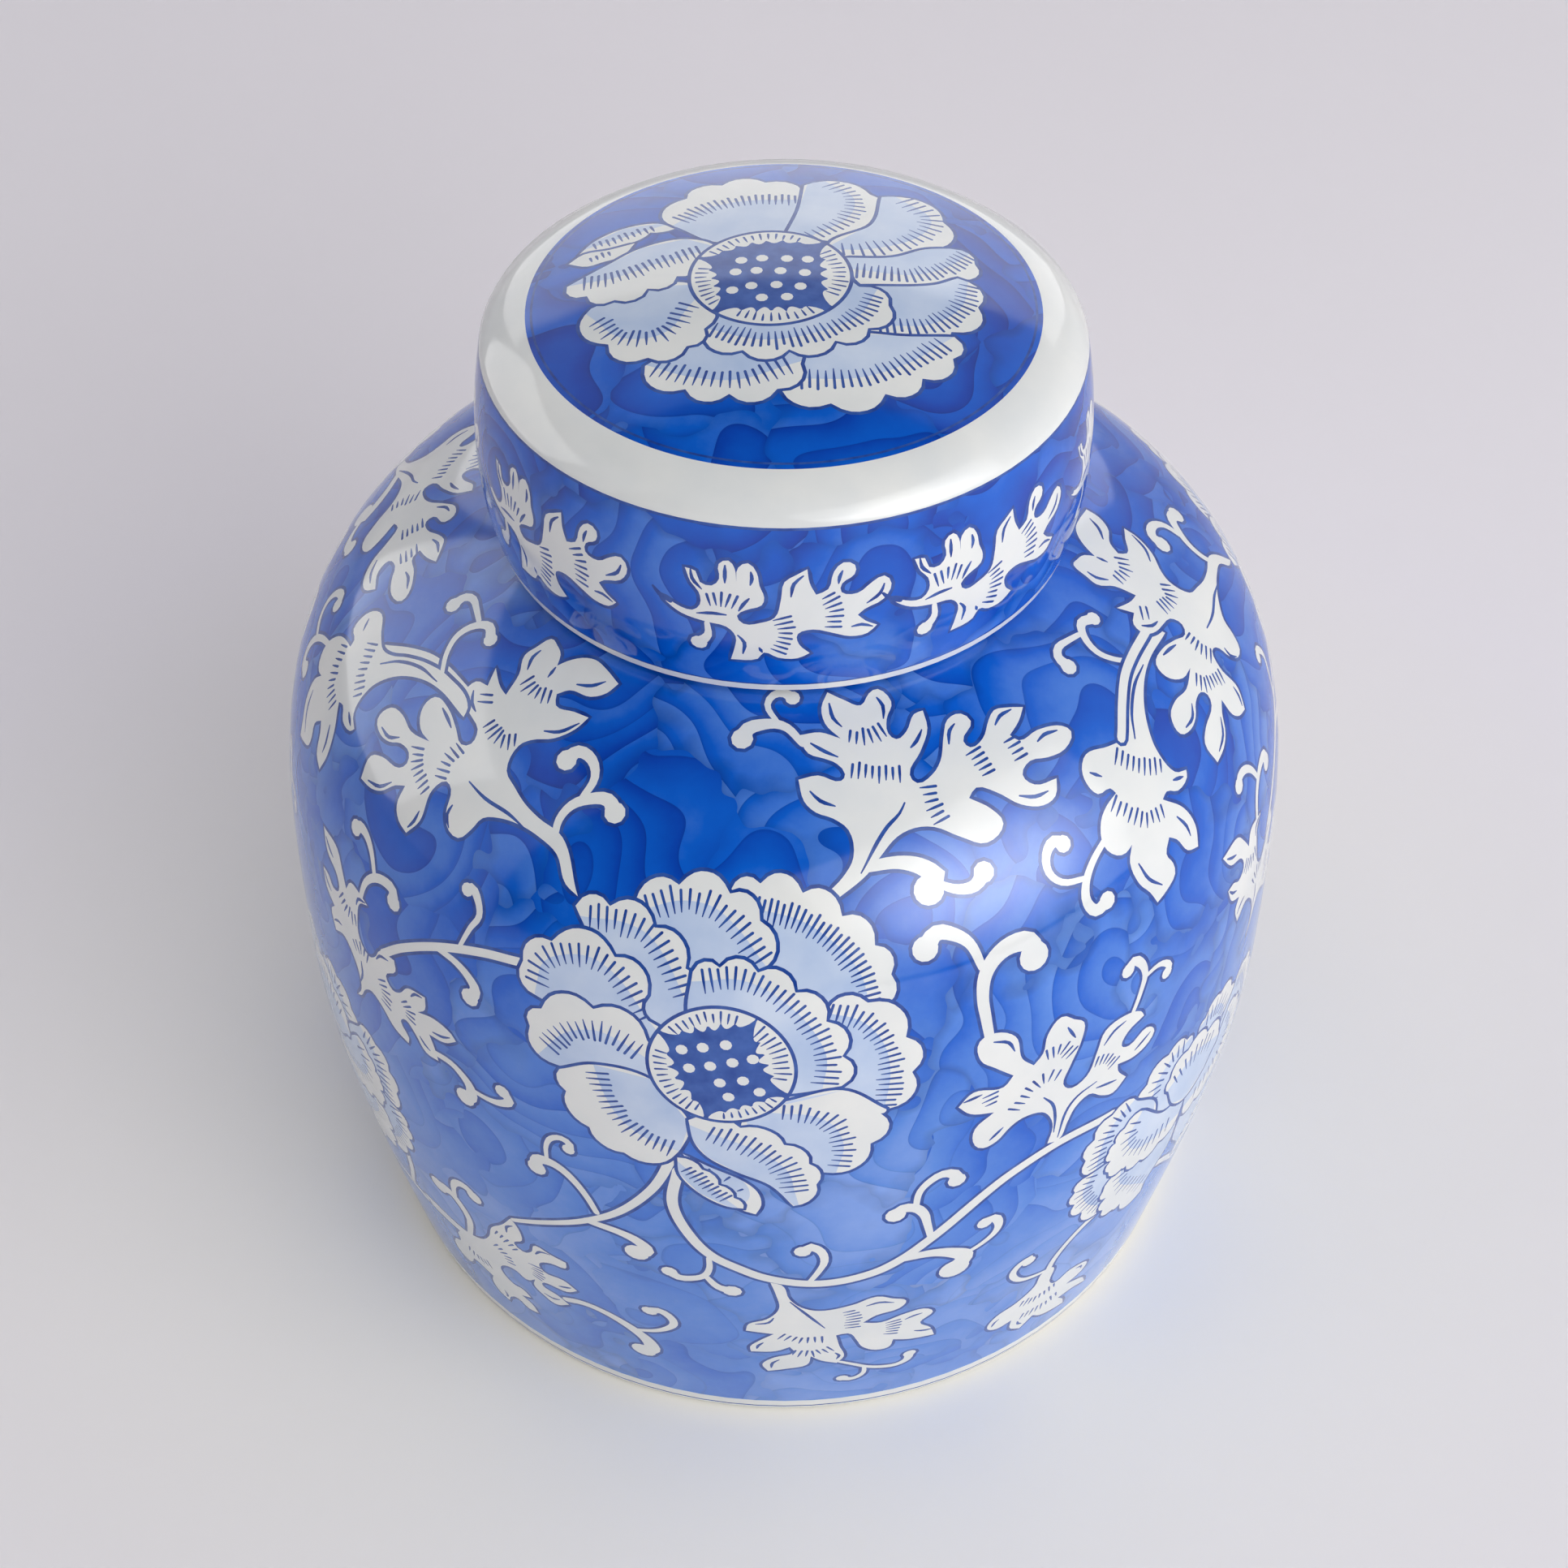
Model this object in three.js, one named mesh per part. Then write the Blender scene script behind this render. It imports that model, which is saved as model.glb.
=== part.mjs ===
// A lidded porcelain ginger jar: a thrown jar body and a cap lid whose skirt drops over the neck.
// Millimetres, +Z up. The origin is the centre of the foot ring, on the surface that the jar stands on.
import * as THREE from "three";

// Driving dimensions.
const WALL = 5; // porcelain thickness of the body
const LID_WALL = 4; // porcelain thickness of the lid
const LID_CHAMFER = 0.8; // on both corners of the lid's lower edge
const SEAT_GAP = 0.3; // left between the lid's skirt and the shoulder under it

const FOOT_RADIUS = 100.1;
const FOOT_RING_WIDTH = 9; // the unglazed ring that the jar stands on
const FOOT_EDGE = 1.6; // rounding of the ring's outer corner
const FOOT_FLARE = 0.3; // how far the wall stands out over the rounded corner
const FOOT_RECESS = 4.5; // how far the glazed underside lies above the ring
const BELLY_RADIUS = 113.9;
const BELLY_HEIGHT = 88.9; // height of the widest part
// The guide points of the two curves that meet at the widest part.
const FOOT_GUIDE_OUT = 9.1; // outwards from the foot
const FOOT_GUIDE_SHARE = 0.49; // of the way up to the widest part
const BELLY_GUIDE_SHARE = 0.76; // of the way up, straight under the widest part
const BELLY_GUIDE_RISE = 60.4; // straight over the widest part
const SHOULDER_GUIDE_REACH = 58; // outwards from the neck, down the shoulder's own slope
const SHOULDER_RADIUS = 57; // where the shoulder ends and the neck's root begins
const SHOULDER_HEIGHT = 197.9;
const SHOULDER_SLOPE = 0.34; // rise per millimetre towards the neck, at the shoulder's end

const NECK_RADIUS = 54.5; // outside
const NECK_HEIGHT = 229; // top of the lip
const LIP_ROUNDING = WALL / 2;
const ROOT_FILLET = 6; // height of the hollow curve between the shoulder and the neck
const ROOT_GUIDE = 1.5; // height of that curve's corner over the shoulder's end
const THROAT_TOP = 2; // where the neck's inside starts to open out, over the shoulder's end
const THROAT_GUIDE = 2.5; // depth of that curve's corner under the shoulder's end
const FLOOR_FILLET = 10; // between the inside wall and the floor
const FLOOR_GUIDE = 1.5; // how far that curve's corner lies outside the wall's foot

const SKIRT_RADIUS = 61.3; // outside, at the lid's lower edge
const SKIRT_BULGE = 4.33; // how far the skirt's lower guide point stands out from the lower edge
const SKIRT_BULGE_TOP = 2.6; // and its upper guide point from the rim
const RIM_RADIUS = 61.9; // outside, where the skirt turns over into the top
const RIM_HEIGHT = 240.5;
const TOP_DISC_RADIUS = 52.6; // where the rounded corner meets the domed top
const TOP_DISC_HEIGHT = 246.8;
const OVERALL_HEIGHT = 253.7;
// The guides of the rounded corner between the skirt and the dome.
const CORNER_GUIDE_IN = 2.1; // carries on in the skirt's direction
const CORNER_LEAN = 0.4; // and leans inwards by this much
const CORNER_GUIDE_OUT = 4.7; // comes back along the dome's direction
const CEILING_GUIDE_IN = 1; // the same corner inside the lid, inwards from the skirt
const CEILING_GUIDE_DOWN = 1.2; // and down from the ceiling

// Fineness of the facets.
const SEGMENTS_ROUND = 60;
const SEGMENTS_LONG_CURVE = 9;
const SEGMENTS_SHOULDER = 12;
const SEGMENTS_SHORT_CURVE = 4;

const point = (radius, height) => new THREE.Vector2(radius, height);

// Points of a curve, without the first one where it repeats the end of the stretch before.
function along(curve, segments, keepFirst = false) {
  const points = curve.getPoints(segments);
  return keepFirst ? points : points.slice(1);
}

// The same line moved sideways to its left by a distance, which is inwards for a wall that runs upwards.
function moved(points, distance) {
  return points.map((here, i) => {
    const before = points[Math.max(i - 1, 0)];
    const after = points[Math.min(i + 1, points.length - 1)];
    const run = after.clone().sub(before).normalize();
    return point(here.x - run.y * distance, here.y + run.x * distance);
  });
}

// The outside of the body from the foot up to the root of the neck: two curves that meet at the widest part.
function bellyLine() {
  const widest = point(BELLY_RADIUS, BELLY_HEIGHT);
  const lower = new THREE.CubicBezierCurve(
    point(FOOT_RADIUS, 0),
    point(FOOT_RADIUS + FOOT_GUIDE_OUT, BELLY_HEIGHT * FOOT_GUIDE_SHARE),
    point(BELLY_RADIUS, BELLY_HEIGHT * BELLY_GUIDE_SHARE),
    widest,
  );
  const upper = new THREE.CubicBezierCurve(
    widest,
    point(BELLY_RADIUS, BELLY_HEIGHT + BELLY_GUIDE_RISE),
    point(
      SHOULDER_RADIUS + SHOULDER_GUIDE_REACH,
      SHOULDER_HEIGHT - SHOULDER_SLOPE * SHOULDER_GUIDE_REACH,
    ),
    point(SHOULDER_RADIUS, SHOULDER_HEIGHT),
  );
  return [
    ...along(lower, SEGMENTS_LONG_CURVE, true),
    ...along(upper, SEGMENTS_SHOULDER),
  ];
}

// Quarter-round or hollow corner from one point to another, turning about the corner between them.
function corner(from, at, to) {
  return along(new THREE.QuadraticBezierCurve(from, at, to), SEGMENTS_SHORT_CURVE);
}

// A half-section turned about +Z into a closed solid. The section starts and ends on the axis.
function turned(section) {
  return new THREE.LatheGeometry(section, SEGMENTS_ROUND).rotateX(Math.PI / 2);
}

function bodySection() {
  const belly = bellyLine();
  const inside = moved(belly, WALL);
  const ringOuter = FOOT_RADIUS - FOOT_EDGE;
  const ringInner = ringOuter - FOOT_RING_WIDTH;
  const footTop = point(FOOT_RADIUS + FOOT_FLARE, FOOT_EDGE);
  const neckRoot = point(NECK_RADIUS, SHOULDER_HEIGHT + ROOT_FILLET);
  const lip = new THREE.EllipseCurve(
    NECK_RADIUS - LIP_ROUNDING, NECK_HEIGHT - LIP_ROUNDING, LIP_ROUNDING, LIP_ROUNDING, 0, Math.PI,
  );
  const innerNeck = NECK_RADIUS - WALL;
  const innerNeckFoot = point(innerNeck, SHOULDER_HEIGHT + THROAT_TOP);
  const underShoulder = inside.at(-2);
  const floor = FOOT_RECESS + WALL;
  const floorEdge = point(inside[0].x - FLOOR_FILLET, floor);
  const wallFoot = inside.findIndex((p) => p.y > floor + FLOOR_FILLET);
  return [
    point(0, FOOT_RECESS),
    point(ringInner - FOOT_RECESS, FOOT_RECESS),
    point(ringInner, 0),
    point(ringOuter, 0),
    ...corner(point(ringOuter, 0), point(FOOT_RADIUS, 0), footTop),
    ...belly.filter((p) => p.y > FOOT_EDGE * 2),
    ...corner(belly.at(-1), point(NECK_RADIUS, SHOULDER_HEIGHT + ROOT_GUIDE), neckRoot),
    ...along(lip, SEGMENTS_SHORT_CURVE + 1, true),
    innerNeckFoot,
    ...corner(innerNeckFoot, point(innerNeck, SHOULDER_HEIGHT - THROAT_GUIDE), underShoulder),
    ...inside.slice(wallFoot, -2).reverse(),
    ...corner(inside[wallFoot], point(inside[0].x + FLOOR_GUIDE, floor), floorEdge),
    point(0, floor),
  ];
}

// The three stretches of the lid's outside: up the skirt, round the corner, and up the dome to the axis.
function lidLines(seat) {
  const skirtRun = RIM_HEIGHT - seat;
  const skirt = new THREE.CubicBezierCurve(
    point(SKIRT_RADIUS, seat),
    point(SKIRT_RADIUS + SKIRT_BULGE, seat + skirtRun / 3),
    point(RIM_RADIUS + SKIRT_BULGE_TOP, seat + (skirtRun * 2) / 3),
    point(RIM_RADIUS, RIM_HEIGHT),
  );
  const rise = OVERALL_HEIGHT - TOP_DISC_HEIGHT;
  const domeRadius = (TOP_DISC_RADIUS ** 2 + rise ** 2) / (2 * rise);
  const lean = Math.asin(TOP_DISC_RADIUS / domeRadius);
  const edge = new THREE.CubicBezierCurve(
    point(RIM_RADIUS, RIM_HEIGHT),
    point(RIM_RADIUS - CORNER_LEAN, RIM_HEIGHT + CORNER_GUIDE_IN),
    point(
      TOP_DISC_RADIUS + CORNER_GUIDE_OUT * Math.cos(lean),
      TOP_DISC_HEIGHT - CORNER_GUIDE_OUT * Math.sin(lean),
    ),
    point(TOP_DISC_RADIUS, TOP_DISC_HEIGHT),
  );
  const dome = new THREE.EllipseCurve(
    0, OVERALL_HEIGHT - domeRadius, domeRadius, domeRadius,
    Math.PI / 2 - lean, Math.PI / 2,
  );
  return {
    skirt: along(skirt, SEGMENTS_LONG_CURVE, true),
    edge: along(edge, SEGMENTS_SHORT_CURVE),
    dome: along(dome, SEGMENTS_SHORT_CURVE + 2),
  };
}

function lidSection() {
  const innerEdge = SKIRT_RADIUS - LID_WALL;
  const restRadius = innerEdge + LID_CHAMFER; // the shoulder slopes, so this is what meets it
  const shoulderThere = SHOULDER_HEIGHT - SHOULDER_SLOPE * (restRadius - SHOULDER_RADIUS);
  const seat = shoulderThere + SEAT_GAP;
  const { skirt, edge, dome } = lidLines(seat);
  const innerSkirt = moved(skirt, LID_WALL).slice(1, -1);
  const innerDome = moved(dome, LID_WALL).slice(0, -1);
  const innerCorner = corner(
    innerSkirt.at(-1),
    point(innerSkirt.at(-1).x - CEILING_GUIDE_IN, innerDome[0].y - CEILING_GUIDE_DOWN),
    innerDome[0],
  );
  return [
    point(restRadius, seat),
    point(SKIRT_RADIUS - LID_CHAMFER, seat),
    point(SKIRT_RADIUS, seat + LID_CHAMFER),
    ...skirt.slice(1),
    ...edge,
    ...dome,
    point(0, OVERALL_HEIGHT - LID_WALL),
    ...innerDome.slice(1).reverse(),
    ...innerCorner.reverse(),
    ...innerSkirt.reverse(),
    point(innerEdge, seat + LID_CHAMFER),
    point(restRadius, seat),
  ];
}

function piece(name, section, colour, roughness) {
  const material = new THREE.MeshStandardMaterial({ color: colour, roughness, metalness: 0 });
  const mesh = new THREE.Mesh(turned(section), material);
  mesh.name = name;
  return mesh;
}

const jar = new THREE.Group();
jar.add(piece("jar_body", bodySection(), "#4463b4", 0.1));
jar.add(piece("lid", lidSection(), "#3f60b8", 0.1));

export default jar;
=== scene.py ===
"""Ginger jar: the painted and glazed surfaces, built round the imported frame.

The jar and its lid are turned bodies. Their blue and white painting is drawn on the unrolled surface, in
degrees round the axis and millimetres along the section, as shapes laid one over another. The surface is then
divided along the edges of those shapes, so every brush line is a border between faces of two glazes.
"""

import math

import bpy
import numpy as np
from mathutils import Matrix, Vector
from mathutils.geometry import delaunay_2d_cdt


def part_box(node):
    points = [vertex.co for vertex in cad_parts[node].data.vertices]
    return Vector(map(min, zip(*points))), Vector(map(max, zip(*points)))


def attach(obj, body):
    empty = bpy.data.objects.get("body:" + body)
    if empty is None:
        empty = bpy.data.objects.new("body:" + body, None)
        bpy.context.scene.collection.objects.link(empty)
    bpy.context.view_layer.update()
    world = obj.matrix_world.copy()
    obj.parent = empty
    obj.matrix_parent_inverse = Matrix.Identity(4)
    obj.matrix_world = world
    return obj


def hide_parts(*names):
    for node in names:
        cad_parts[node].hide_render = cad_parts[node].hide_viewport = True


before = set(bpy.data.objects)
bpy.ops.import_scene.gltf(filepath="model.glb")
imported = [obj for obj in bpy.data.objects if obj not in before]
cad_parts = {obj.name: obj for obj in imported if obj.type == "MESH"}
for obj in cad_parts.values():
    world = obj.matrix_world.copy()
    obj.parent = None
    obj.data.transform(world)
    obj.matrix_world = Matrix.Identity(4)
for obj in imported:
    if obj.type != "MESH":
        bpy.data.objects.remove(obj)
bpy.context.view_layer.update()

MM = 0.001
jar_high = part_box("jar_body")[1]
lid_low, lid_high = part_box("lid")

# Sizes in millimetres. These come from the frame.
BELLY_RADIUS = jar_high.x / MM
NECK_TOP = jar_high.z / MM
LID_SEAT = lid_low.z / MM
TOP = lid_high.z / MM

# The rest of the sections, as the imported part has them.
WALL = 5.0
FOOT_RADIUS = 100.1
FOOT_EDGE = 1.6  # rounding of the foot ring's outer corner
FOOT_FLARE = 0.3  # how far the wall stands out over that corner
FOOT_RECESS = 4.5  # how far the underside lies above the ring
RING_OUTER = FOOT_RADIUS - FOOT_EDGE
RING_INNER = RING_OUTER - 9
BELLY_HEIGHT = 88.9
SHOULDER = np.array([57.0, 197.9])  # radius and height where the neck's root begins
SHOULDER_GUIDE = np.array([58.0, -19.72])  # from there down the shoulder's own slope
NECK_RADIUS = 54.5
NECK_ROOT = SHOULDER[1] + 6
FLOOR = FOOT_RECESS + WALL
FLOOR_FILLET = 10
LID_WALL = 4.0
LID_CHAMFER = 0.8
SKIRT_RADIUS = 61.3
RIM_RADIUS = 61.9
RIM_HEIGHT = 240.5
DOME_RADIUS = 52.6
DOME_FOOT = 246.8  # height of the dome's edge

# Where paints meet, along the sections.
FOOT_START = 1.63  # where the painted outside starts, up the section from the ground
FOOT_WHITE = 5.7  # top of the white band over the foot
FOOT_LINE = (2.1, 2.7)  # the line on that band
SKIRT_WHITE = 2.7  # top of the white edge of the skirt
SKIRT_LINE = 3.1  # top of the line over it
RIM_START = 42.9  # where the lid's white rim starts, up the skirt
RIM_LINE = 0.6  # width of the line under the rim
PAST_END = 5  # how far a band runs on past the end of a section
DISC_RADIUS = 52.1  # of the blue disc on the dome
DISC_LINE = (1.0, 1.5)  # how far inside its edge the disc's line starts and ends

# Fineness.
COLUMN = 3.75  # degrees between the vertices of a ring
GRID_STEP = 5.0  # between the points that carry the curvature
OUTLINE_STEP = 1.4  # along a painted outline
BRUSH_LINE = 0.8  # width of the dark outlines
HATCH_SPACING = 1.35  # least distance between the short strokes
HATCH_LENGTHS = (0.8, 1.2)  # of a row's given length
HATCH_SHIFT = 0.35  # how far a short stroke may lie off its row
WASH_REACH = 6  # how far a petal's wash is drawn on past its sides, where it is cut off
DOT_RADIUS = 1.25  # of the white dots in a flower's heart

GROUND, WHITE, WASH, LINE, HEART, BARE = range(6)
rng = np.random.default_rng(7)


# ---------------------------------------------------------------- curves

def bezier(a, b, c, d, count):
    """Points of a cubic curve, both ends included."""
    t = np.linspace(0, 1, count)[:, None]
    a, b, c, d = (np.array(p, float) for p in (a, b, c, d))
    return (1 - t) ** 3 * a + 3 * t * (1 - t) ** 2 * b + 3 * t * t * (1 - t) * c + t ** 3 * d


def quarter(a, corner, b, count=7):
    """Points of the curve that rounds a corner."""
    t = np.linspace(0, 1, count)[:, None]
    a, corner, b = (np.array(p, float) for p in (a, corner, b))
    return (1 - t) ** 2 * a + 2 * t * (1 - t) * corner + t * t * b


def unit(v):
    return v / np.maximum(np.linalg.norm(v, axis=-1, keepdims=True), 1e-9)


def smooth(points, wide, closed=False):
    """A smooth line through the points. Where it would turn by more than about 85 degrees it keeps a corner.

    wide is how many millimetres one unit across is, so that the line is smooth on the surface.
    """
    scale = np.array([wide, 1.0])
    p = np.array(points, float) * scale
    n = len(p)
    into = p - np.roll(p, 1, 0)
    out = np.roll(p, -1, 0) - p
    if not closed:
        into[0], out[-1] = out[0], into[-1]
    cosine = (unit(into) * unit(out)).sum(1)
    between = unit(unit(into) + unit(out))
    soft = (cosine > 0.09)[:, None]
    leave = np.where(soft, between, unit(out))
    arrive = np.where(soft, between, unit(into))
    line = []
    for i in range(n if closed else n - 1):
        j = (i + 1) % n
        length = np.linalg.norm(p[j] - p[i])
        count = max(1, math.ceil(length / OUTLINE_STEP))
        t = (np.arange(count) / count)[:, None]
        line.append(
            (2 * t ** 3 - 3 * t ** 2 + 1) * p[i] + (t ** 3 - 2 * t ** 2 + t) * length * leave[i]
            + (3 * t ** 2 - 2 * t ** 3) * p[j] + (t ** 3 - t ** 2) * length * arrive[j]
        )
    if not closed:
        line.append(p[-1:])
    return np.vstack(line) / scale


# ---------------------------------------------------------------- surfaces

class Turned:
    """A turned surface. A place on it is (degrees from the front, millimetres along the section)."""

    def __init__(self, section):
        self.section = np.array(section, float)
        self.along = np.r_[0, np.cumsum(np.hypot(*np.diff(self.section, axis=0).T))]
        self.length = self.along[-1]

    def wide(self, y):
        """Millimetres in one degree at that place."""
        return np.interp(y, self.along, self.section[:, 0]) * math.pi / 180

    def points(self, at):
        r, z = (np.interp(at[:, 1], self.along, self.section[:, k]) for k in (0, 1))
        a = np.radians(at[:, 0])
        return np.c_[r * np.sin(a), -r * np.cos(a), z] * MM

    def normals(self, at):
        run = unit(np.gradient(self.section, self.along, axis=0))
        dr, dz = (np.interp(at[:, 1], self.along, run[:, k]) for k in (0, 1))
        a = np.radians(at[:, 0])
        return unit(np.c_[dz * np.sin(a), -dz * np.cos(a), -dr])


class Domed:
    """The top of the lid. A place on it is (millimetres to the right, millimetres to the back)."""

    def __init__(self, radius, rise, top):
        self.rim = radius
        self.ball = (radius ** 2 + rise ** 2) / (2 * rise)
        self.top = top

    def wide(self, y):
        return np.ones_like(np.asarray(y, float))

    def points(self, at):
        sag = self.ball - np.sqrt(self.ball ** 2 - (at ** 2).sum(1))
        return np.c_[at, self.top - sag] * MM

    def normals(self, at):
        return unit(np.c_[at, np.sqrt(self.ball ** 2 - (at ** 2).sum(1))])


# ---------------------------------------------------------------- painting

class Painting:
    """Shapes laid one over another on a surface. Each has a paint, and the one on top shows."""

    def __init__(self, surface):
        self.surface = surface
        self.shapes = []
        self.level = 0
        self.turn = 0.0
        self.flip = 1

    def place(self, turn=0.0, flip=False):
        """What is drawn next is turned round the axis by so many degrees, or mirrored first."""
        self.turn = turn
        self.flip = -1 if flip else 1

    def new_group(self):
        self.level += 10

    def fill(self, outline, paint, layer, within=None):
        """Lays a shape. layer is its place in the group; within is an outline that also bounds it."""
        self.shapes.append((self._placed(outline), paint, self.level + layer,
                            None if within is None else self._placed(within)))

    def _placed(self, outline):
        at = np.array(outline, float)
        at[:, 0] = at[:, 0] * self.flip + self.turn
        return at

    def sideways(self, line, closed=False):
        """Unit steps to the left of a line, in millimetres on the surface, as units of the sheet."""
        wide = self.surface.wide(line[:, 1])
        if closed:
            run = np.roll(line, -1, 0) - np.roll(line, 1, 0)
        else:
            run = np.gradient(line, axis=0)
        run = unit(run * np.c_[wide, np.ones_like(wide)])
        return np.c_[-run[:, 1] / wide, run[:, 0]]

    def grown(self, outline, by):
        """A closed outline moved outwards."""
        x, y = outline[:, 0], outline[:, 1]
        area = (x * np.roll(y, -1) - np.roll(x, -1) * y).sum()
        return outline - self.sideways(outline, closed=True) * by * np.sign(area)

    def stroke(self, line, widths, paint, layer, within=None, extra=0.0):
        """A band along a line, with widths that change evenly along it, and round ends."""
        wide = self.surface.wide(line[:, 1])
        share = np.linspace(0, 1, len(line))
        half = (np.interp(share, np.linspace(0, 1, len(widths)), widths) / 2 + extra)[:, None]
        side = self.sideways(line)
        run = np.c_[side[:, 1] / wide, -side[:, 0] * wide]
        cap = np.radians([45, 0, -45])[:, None]
        end = line[-1] + half[-1] * (np.cos(cap) * run[-1] + np.sin(cap) * side[-1])
        start = line[0] - half[0] * (np.cos(cap) * run[0] + np.sin(cap) * side[0])
        self.fill(np.vstack([line + side * half, end, (line - side * half)[::-1], start]),
                  paint, layer, within)

    def disc(self, centre, radius, paint, layer, extra=0.0):
        wide = float(self.surface.wide(centre[1]))
        count = max(10, math.ceil(2 * math.pi * radius / OUTLINE_STEP))
        t = np.linspace(0, 2 * math.pi, count, endpoint=False)
        reach = radius + extra
        self.fill(np.c_[centre[0] + reach * np.cos(t) / wide, centre[1] + reach * np.sin(t)],
                  paint, layer)

    def band(self, low, high, paint, layer):
        """A ring all the way round, between two heights."""
        half = 180 + 2 * COLUMN
        x = np.arange(-half, half + COLUMN / 2, COLUMN)
        self.fill(np.vstack([np.c_[x, np.full(len(x), low)], np.c_[x[::-1], np.full(len(x), high)]]),
                  paint, layer)

    # What follows draws with the brush, in this order within a group:
    # 0 dark edge, 1 white, 2 pale wash, 3 fine lines.

    def line(self, points):
        """A fine brush line, thinner at its ends."""
        path = smooth(points, self.middle_width(points))
        self.stroke(path, BRUSH_LINE * np.array([0.45, 1, 1, 0.35]), LINE, 3)

    def edged(self, outline):
        """A white shape with a dark edge round it."""
        self.fill(self.grown(outline, BRUSH_LINE), LINE, 0)
        self.fill(outline, WHITE, 1)

    def middle_width(self, points):
        return float(self.surface.wide(np.mean([p[1] for p in points])))

    def hatch(self, points, count, length=3.0, width=0.6, within=None):
        """Short strokes side by side across a line."""
        wide = self.middle_width(points)
        path = smooth(points, wide)
        gone = np.r_[0, np.cumsum(np.hypot(*(np.diff(path, axis=0) * (wide, 1)).T))]
        count = min(count, round(gone[-1] / HATCH_SPACING))
        side = self.sideways(path)
        for share in (np.arange(count) + 0.5) / count:
            here = share * gone[-1]
            centre, across = (
                np.array([np.interp(here, gone, values[:, k]) for k in (0, 1)])
                for values in (path, side)
            )
            reach = across * length / 2 * rng.uniform(*HATCH_LENGTHS)
            centre = centre + across * rng.uniform(-HATCH_SHIFT, HATCH_SHIFT)
            mark = np.array([centre + reach, centre, centre - reach])
            self.stroke(mark, (width, width * 0.95, width * 0.4), LINE, 3, within)

    def stem(self, points, widths):
        """A white stalk with dark edges."""
        path = smooth(points, self.middle_width(points))
        self.stroke(path, widths, LINE, 0, extra=BRUSH_LINE)
        self.stroke(path, widths, WHITE, 1)

    def tendril(self, points, ball):
        """A stalk that curls round and ends in a ball. ball is its radius."""
        self.stem(points, (ball * 0.65, ball * 0.8, ball * 1.1, ball * 1.5))
        end = points[-1]
        self.disc(end, ball, LINE, 0, extra=BRUSH_LINE)
        self.disc(end, ball, WHITE, 1)

    def leaf(self, outline, veins=(), hatches=()):
        """A white leaf of any outline. veins are lines on it, and hatches are (line, count)."""
        self.edged(smooth(outline, self.middle_width(outline), closed=True))
        for vein in veins:
            self.line(vein)
        for path, count in hatches:
            self.hatch(path, count)

    def scallops(self, cusps, inside, bulge):
        """A line through the cusps that bulges outwards between them, away from the place inside."""
        wide = float(self.surface.wide(inside[1]))
        scale = np.array([wide, 1.0])
        p = np.array(cusps, float) * scale
        out = []
        for a, b in zip(p[:-1], p[1:]):
            chord = b - a
            length = np.linalg.norm(chord)
            normal = np.array([-chord[1], chord[0]]) / length
            if normal @ ((a + b) / 2 - np.array(inside) * scale) < 0:
                normal = -normal
            t = np.linspace(0, 1, max(5, math.ceil(length / OUTLINE_STEP)))[:-1, None]
            out.append(a + t * chord + normal * length * bulge * (1 - np.abs(2 * t - 1) ** 2.4))
        out.append(p[-1:])
        return np.vstack(out) / scale

    def petal(self, cusps, base, hatch, count, bulge=0.3, length=4.6):
        """A petal with a scalloped white rim, a pale inside, and a row of strokes where the two meet."""
        self.new_group()
        middle = np.mean(np.array(base, float), axis=0)
        rim = self.scallops(cusps, middle, bulge)
        wide = float(self.surface.wide(middle[1]))
        edge = np.vstack([rim, smooth([cusps[-1], *base, cusps[0]], wide)[1:-1]])
        self.edged(edge)
        path = smooth(hatch, wide)
        inner = np.vstack([self.longer(path, WASH_REACH), np.array(base, float)])
        self.fill(inner, WASH, 2, within=edge)
        self.hatch(hatch, count, length, within=edge)

    def longer(self, path, by):
        """A line carried on straight at both ends, by so many millimetres."""
        side = self.sideways(path)
        wide = self.surface.wide(path[:, 1])
        run = np.c_[side[:, 1] / wide, -side[:, 0] * wide]
        return np.vstack([path[:1] - run[:1] * by, path, path[-1:] + run[-1:] * by])

    def folded(self, outline, pale, hatch, count, length):
        """A petal seen from its side, of any outline, partly pale and with a row of strokes."""
        self.new_group()
        edge = smooth(outline, self.middle_width(outline), closed=True)
        self.edged(edge)
        if pale:
            self.fill(smooth(pale, self.middle_width(pale), closed=True), WASH, 2, within=edge)
        self.hatch(hatch, count, length, within=edge)

    def heart(self, centre, radius, dots, sepals):
        """The dark middle of a flower with its white dots and the toothed sepals round it."""
        self.new_group()
        self.disc(centre, radius, LINE, 0, extra=BRUSH_LINE)
        self.disc(centre, radius, HEART, 1)
        for dot in dots:
            self.disc(dot, DOT_RADIUS, WHITE, 2)
        wide = float(self.surface.wide(centre[1]))
        for start, end, depth, teeth in sepals:
            t = np.radians(np.linspace(start, end, 40))
            ring = np.c_[np.cos(t), np.sin(t)]
            share = np.linspace(0, 1, 40)
            swell = np.sin(math.pi * share) ** 0.45
            scallop = 0.62 + 0.38 * np.abs(np.sin(math.pi * teeth * share)) ** 0.7
            inner = radius - 0.5 - depth * swell * scallop
            edge = np.vstack([ring * radius, (ring * inner[:, None])[::-1]])
            edge = np.array(centre) + edge / (wide, 1)
            self.fill(edge, WHITE, 2)
            middle = np.array(centre) + ring[2:-2] * (radius - 0.5 - depth * 0.32) / (wide, 1)
            self.hatch(middle[::4], max(5, int(radius * abs(end - start) / 120)), depth * 0.5, 0.5)


# ---------------------------------------------------------------- the scrolling pattern of the body
# Places are (degrees, millimetres up the section). The pattern repeats every third of the way round.

THIRDS = (0, 120, -120)

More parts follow.
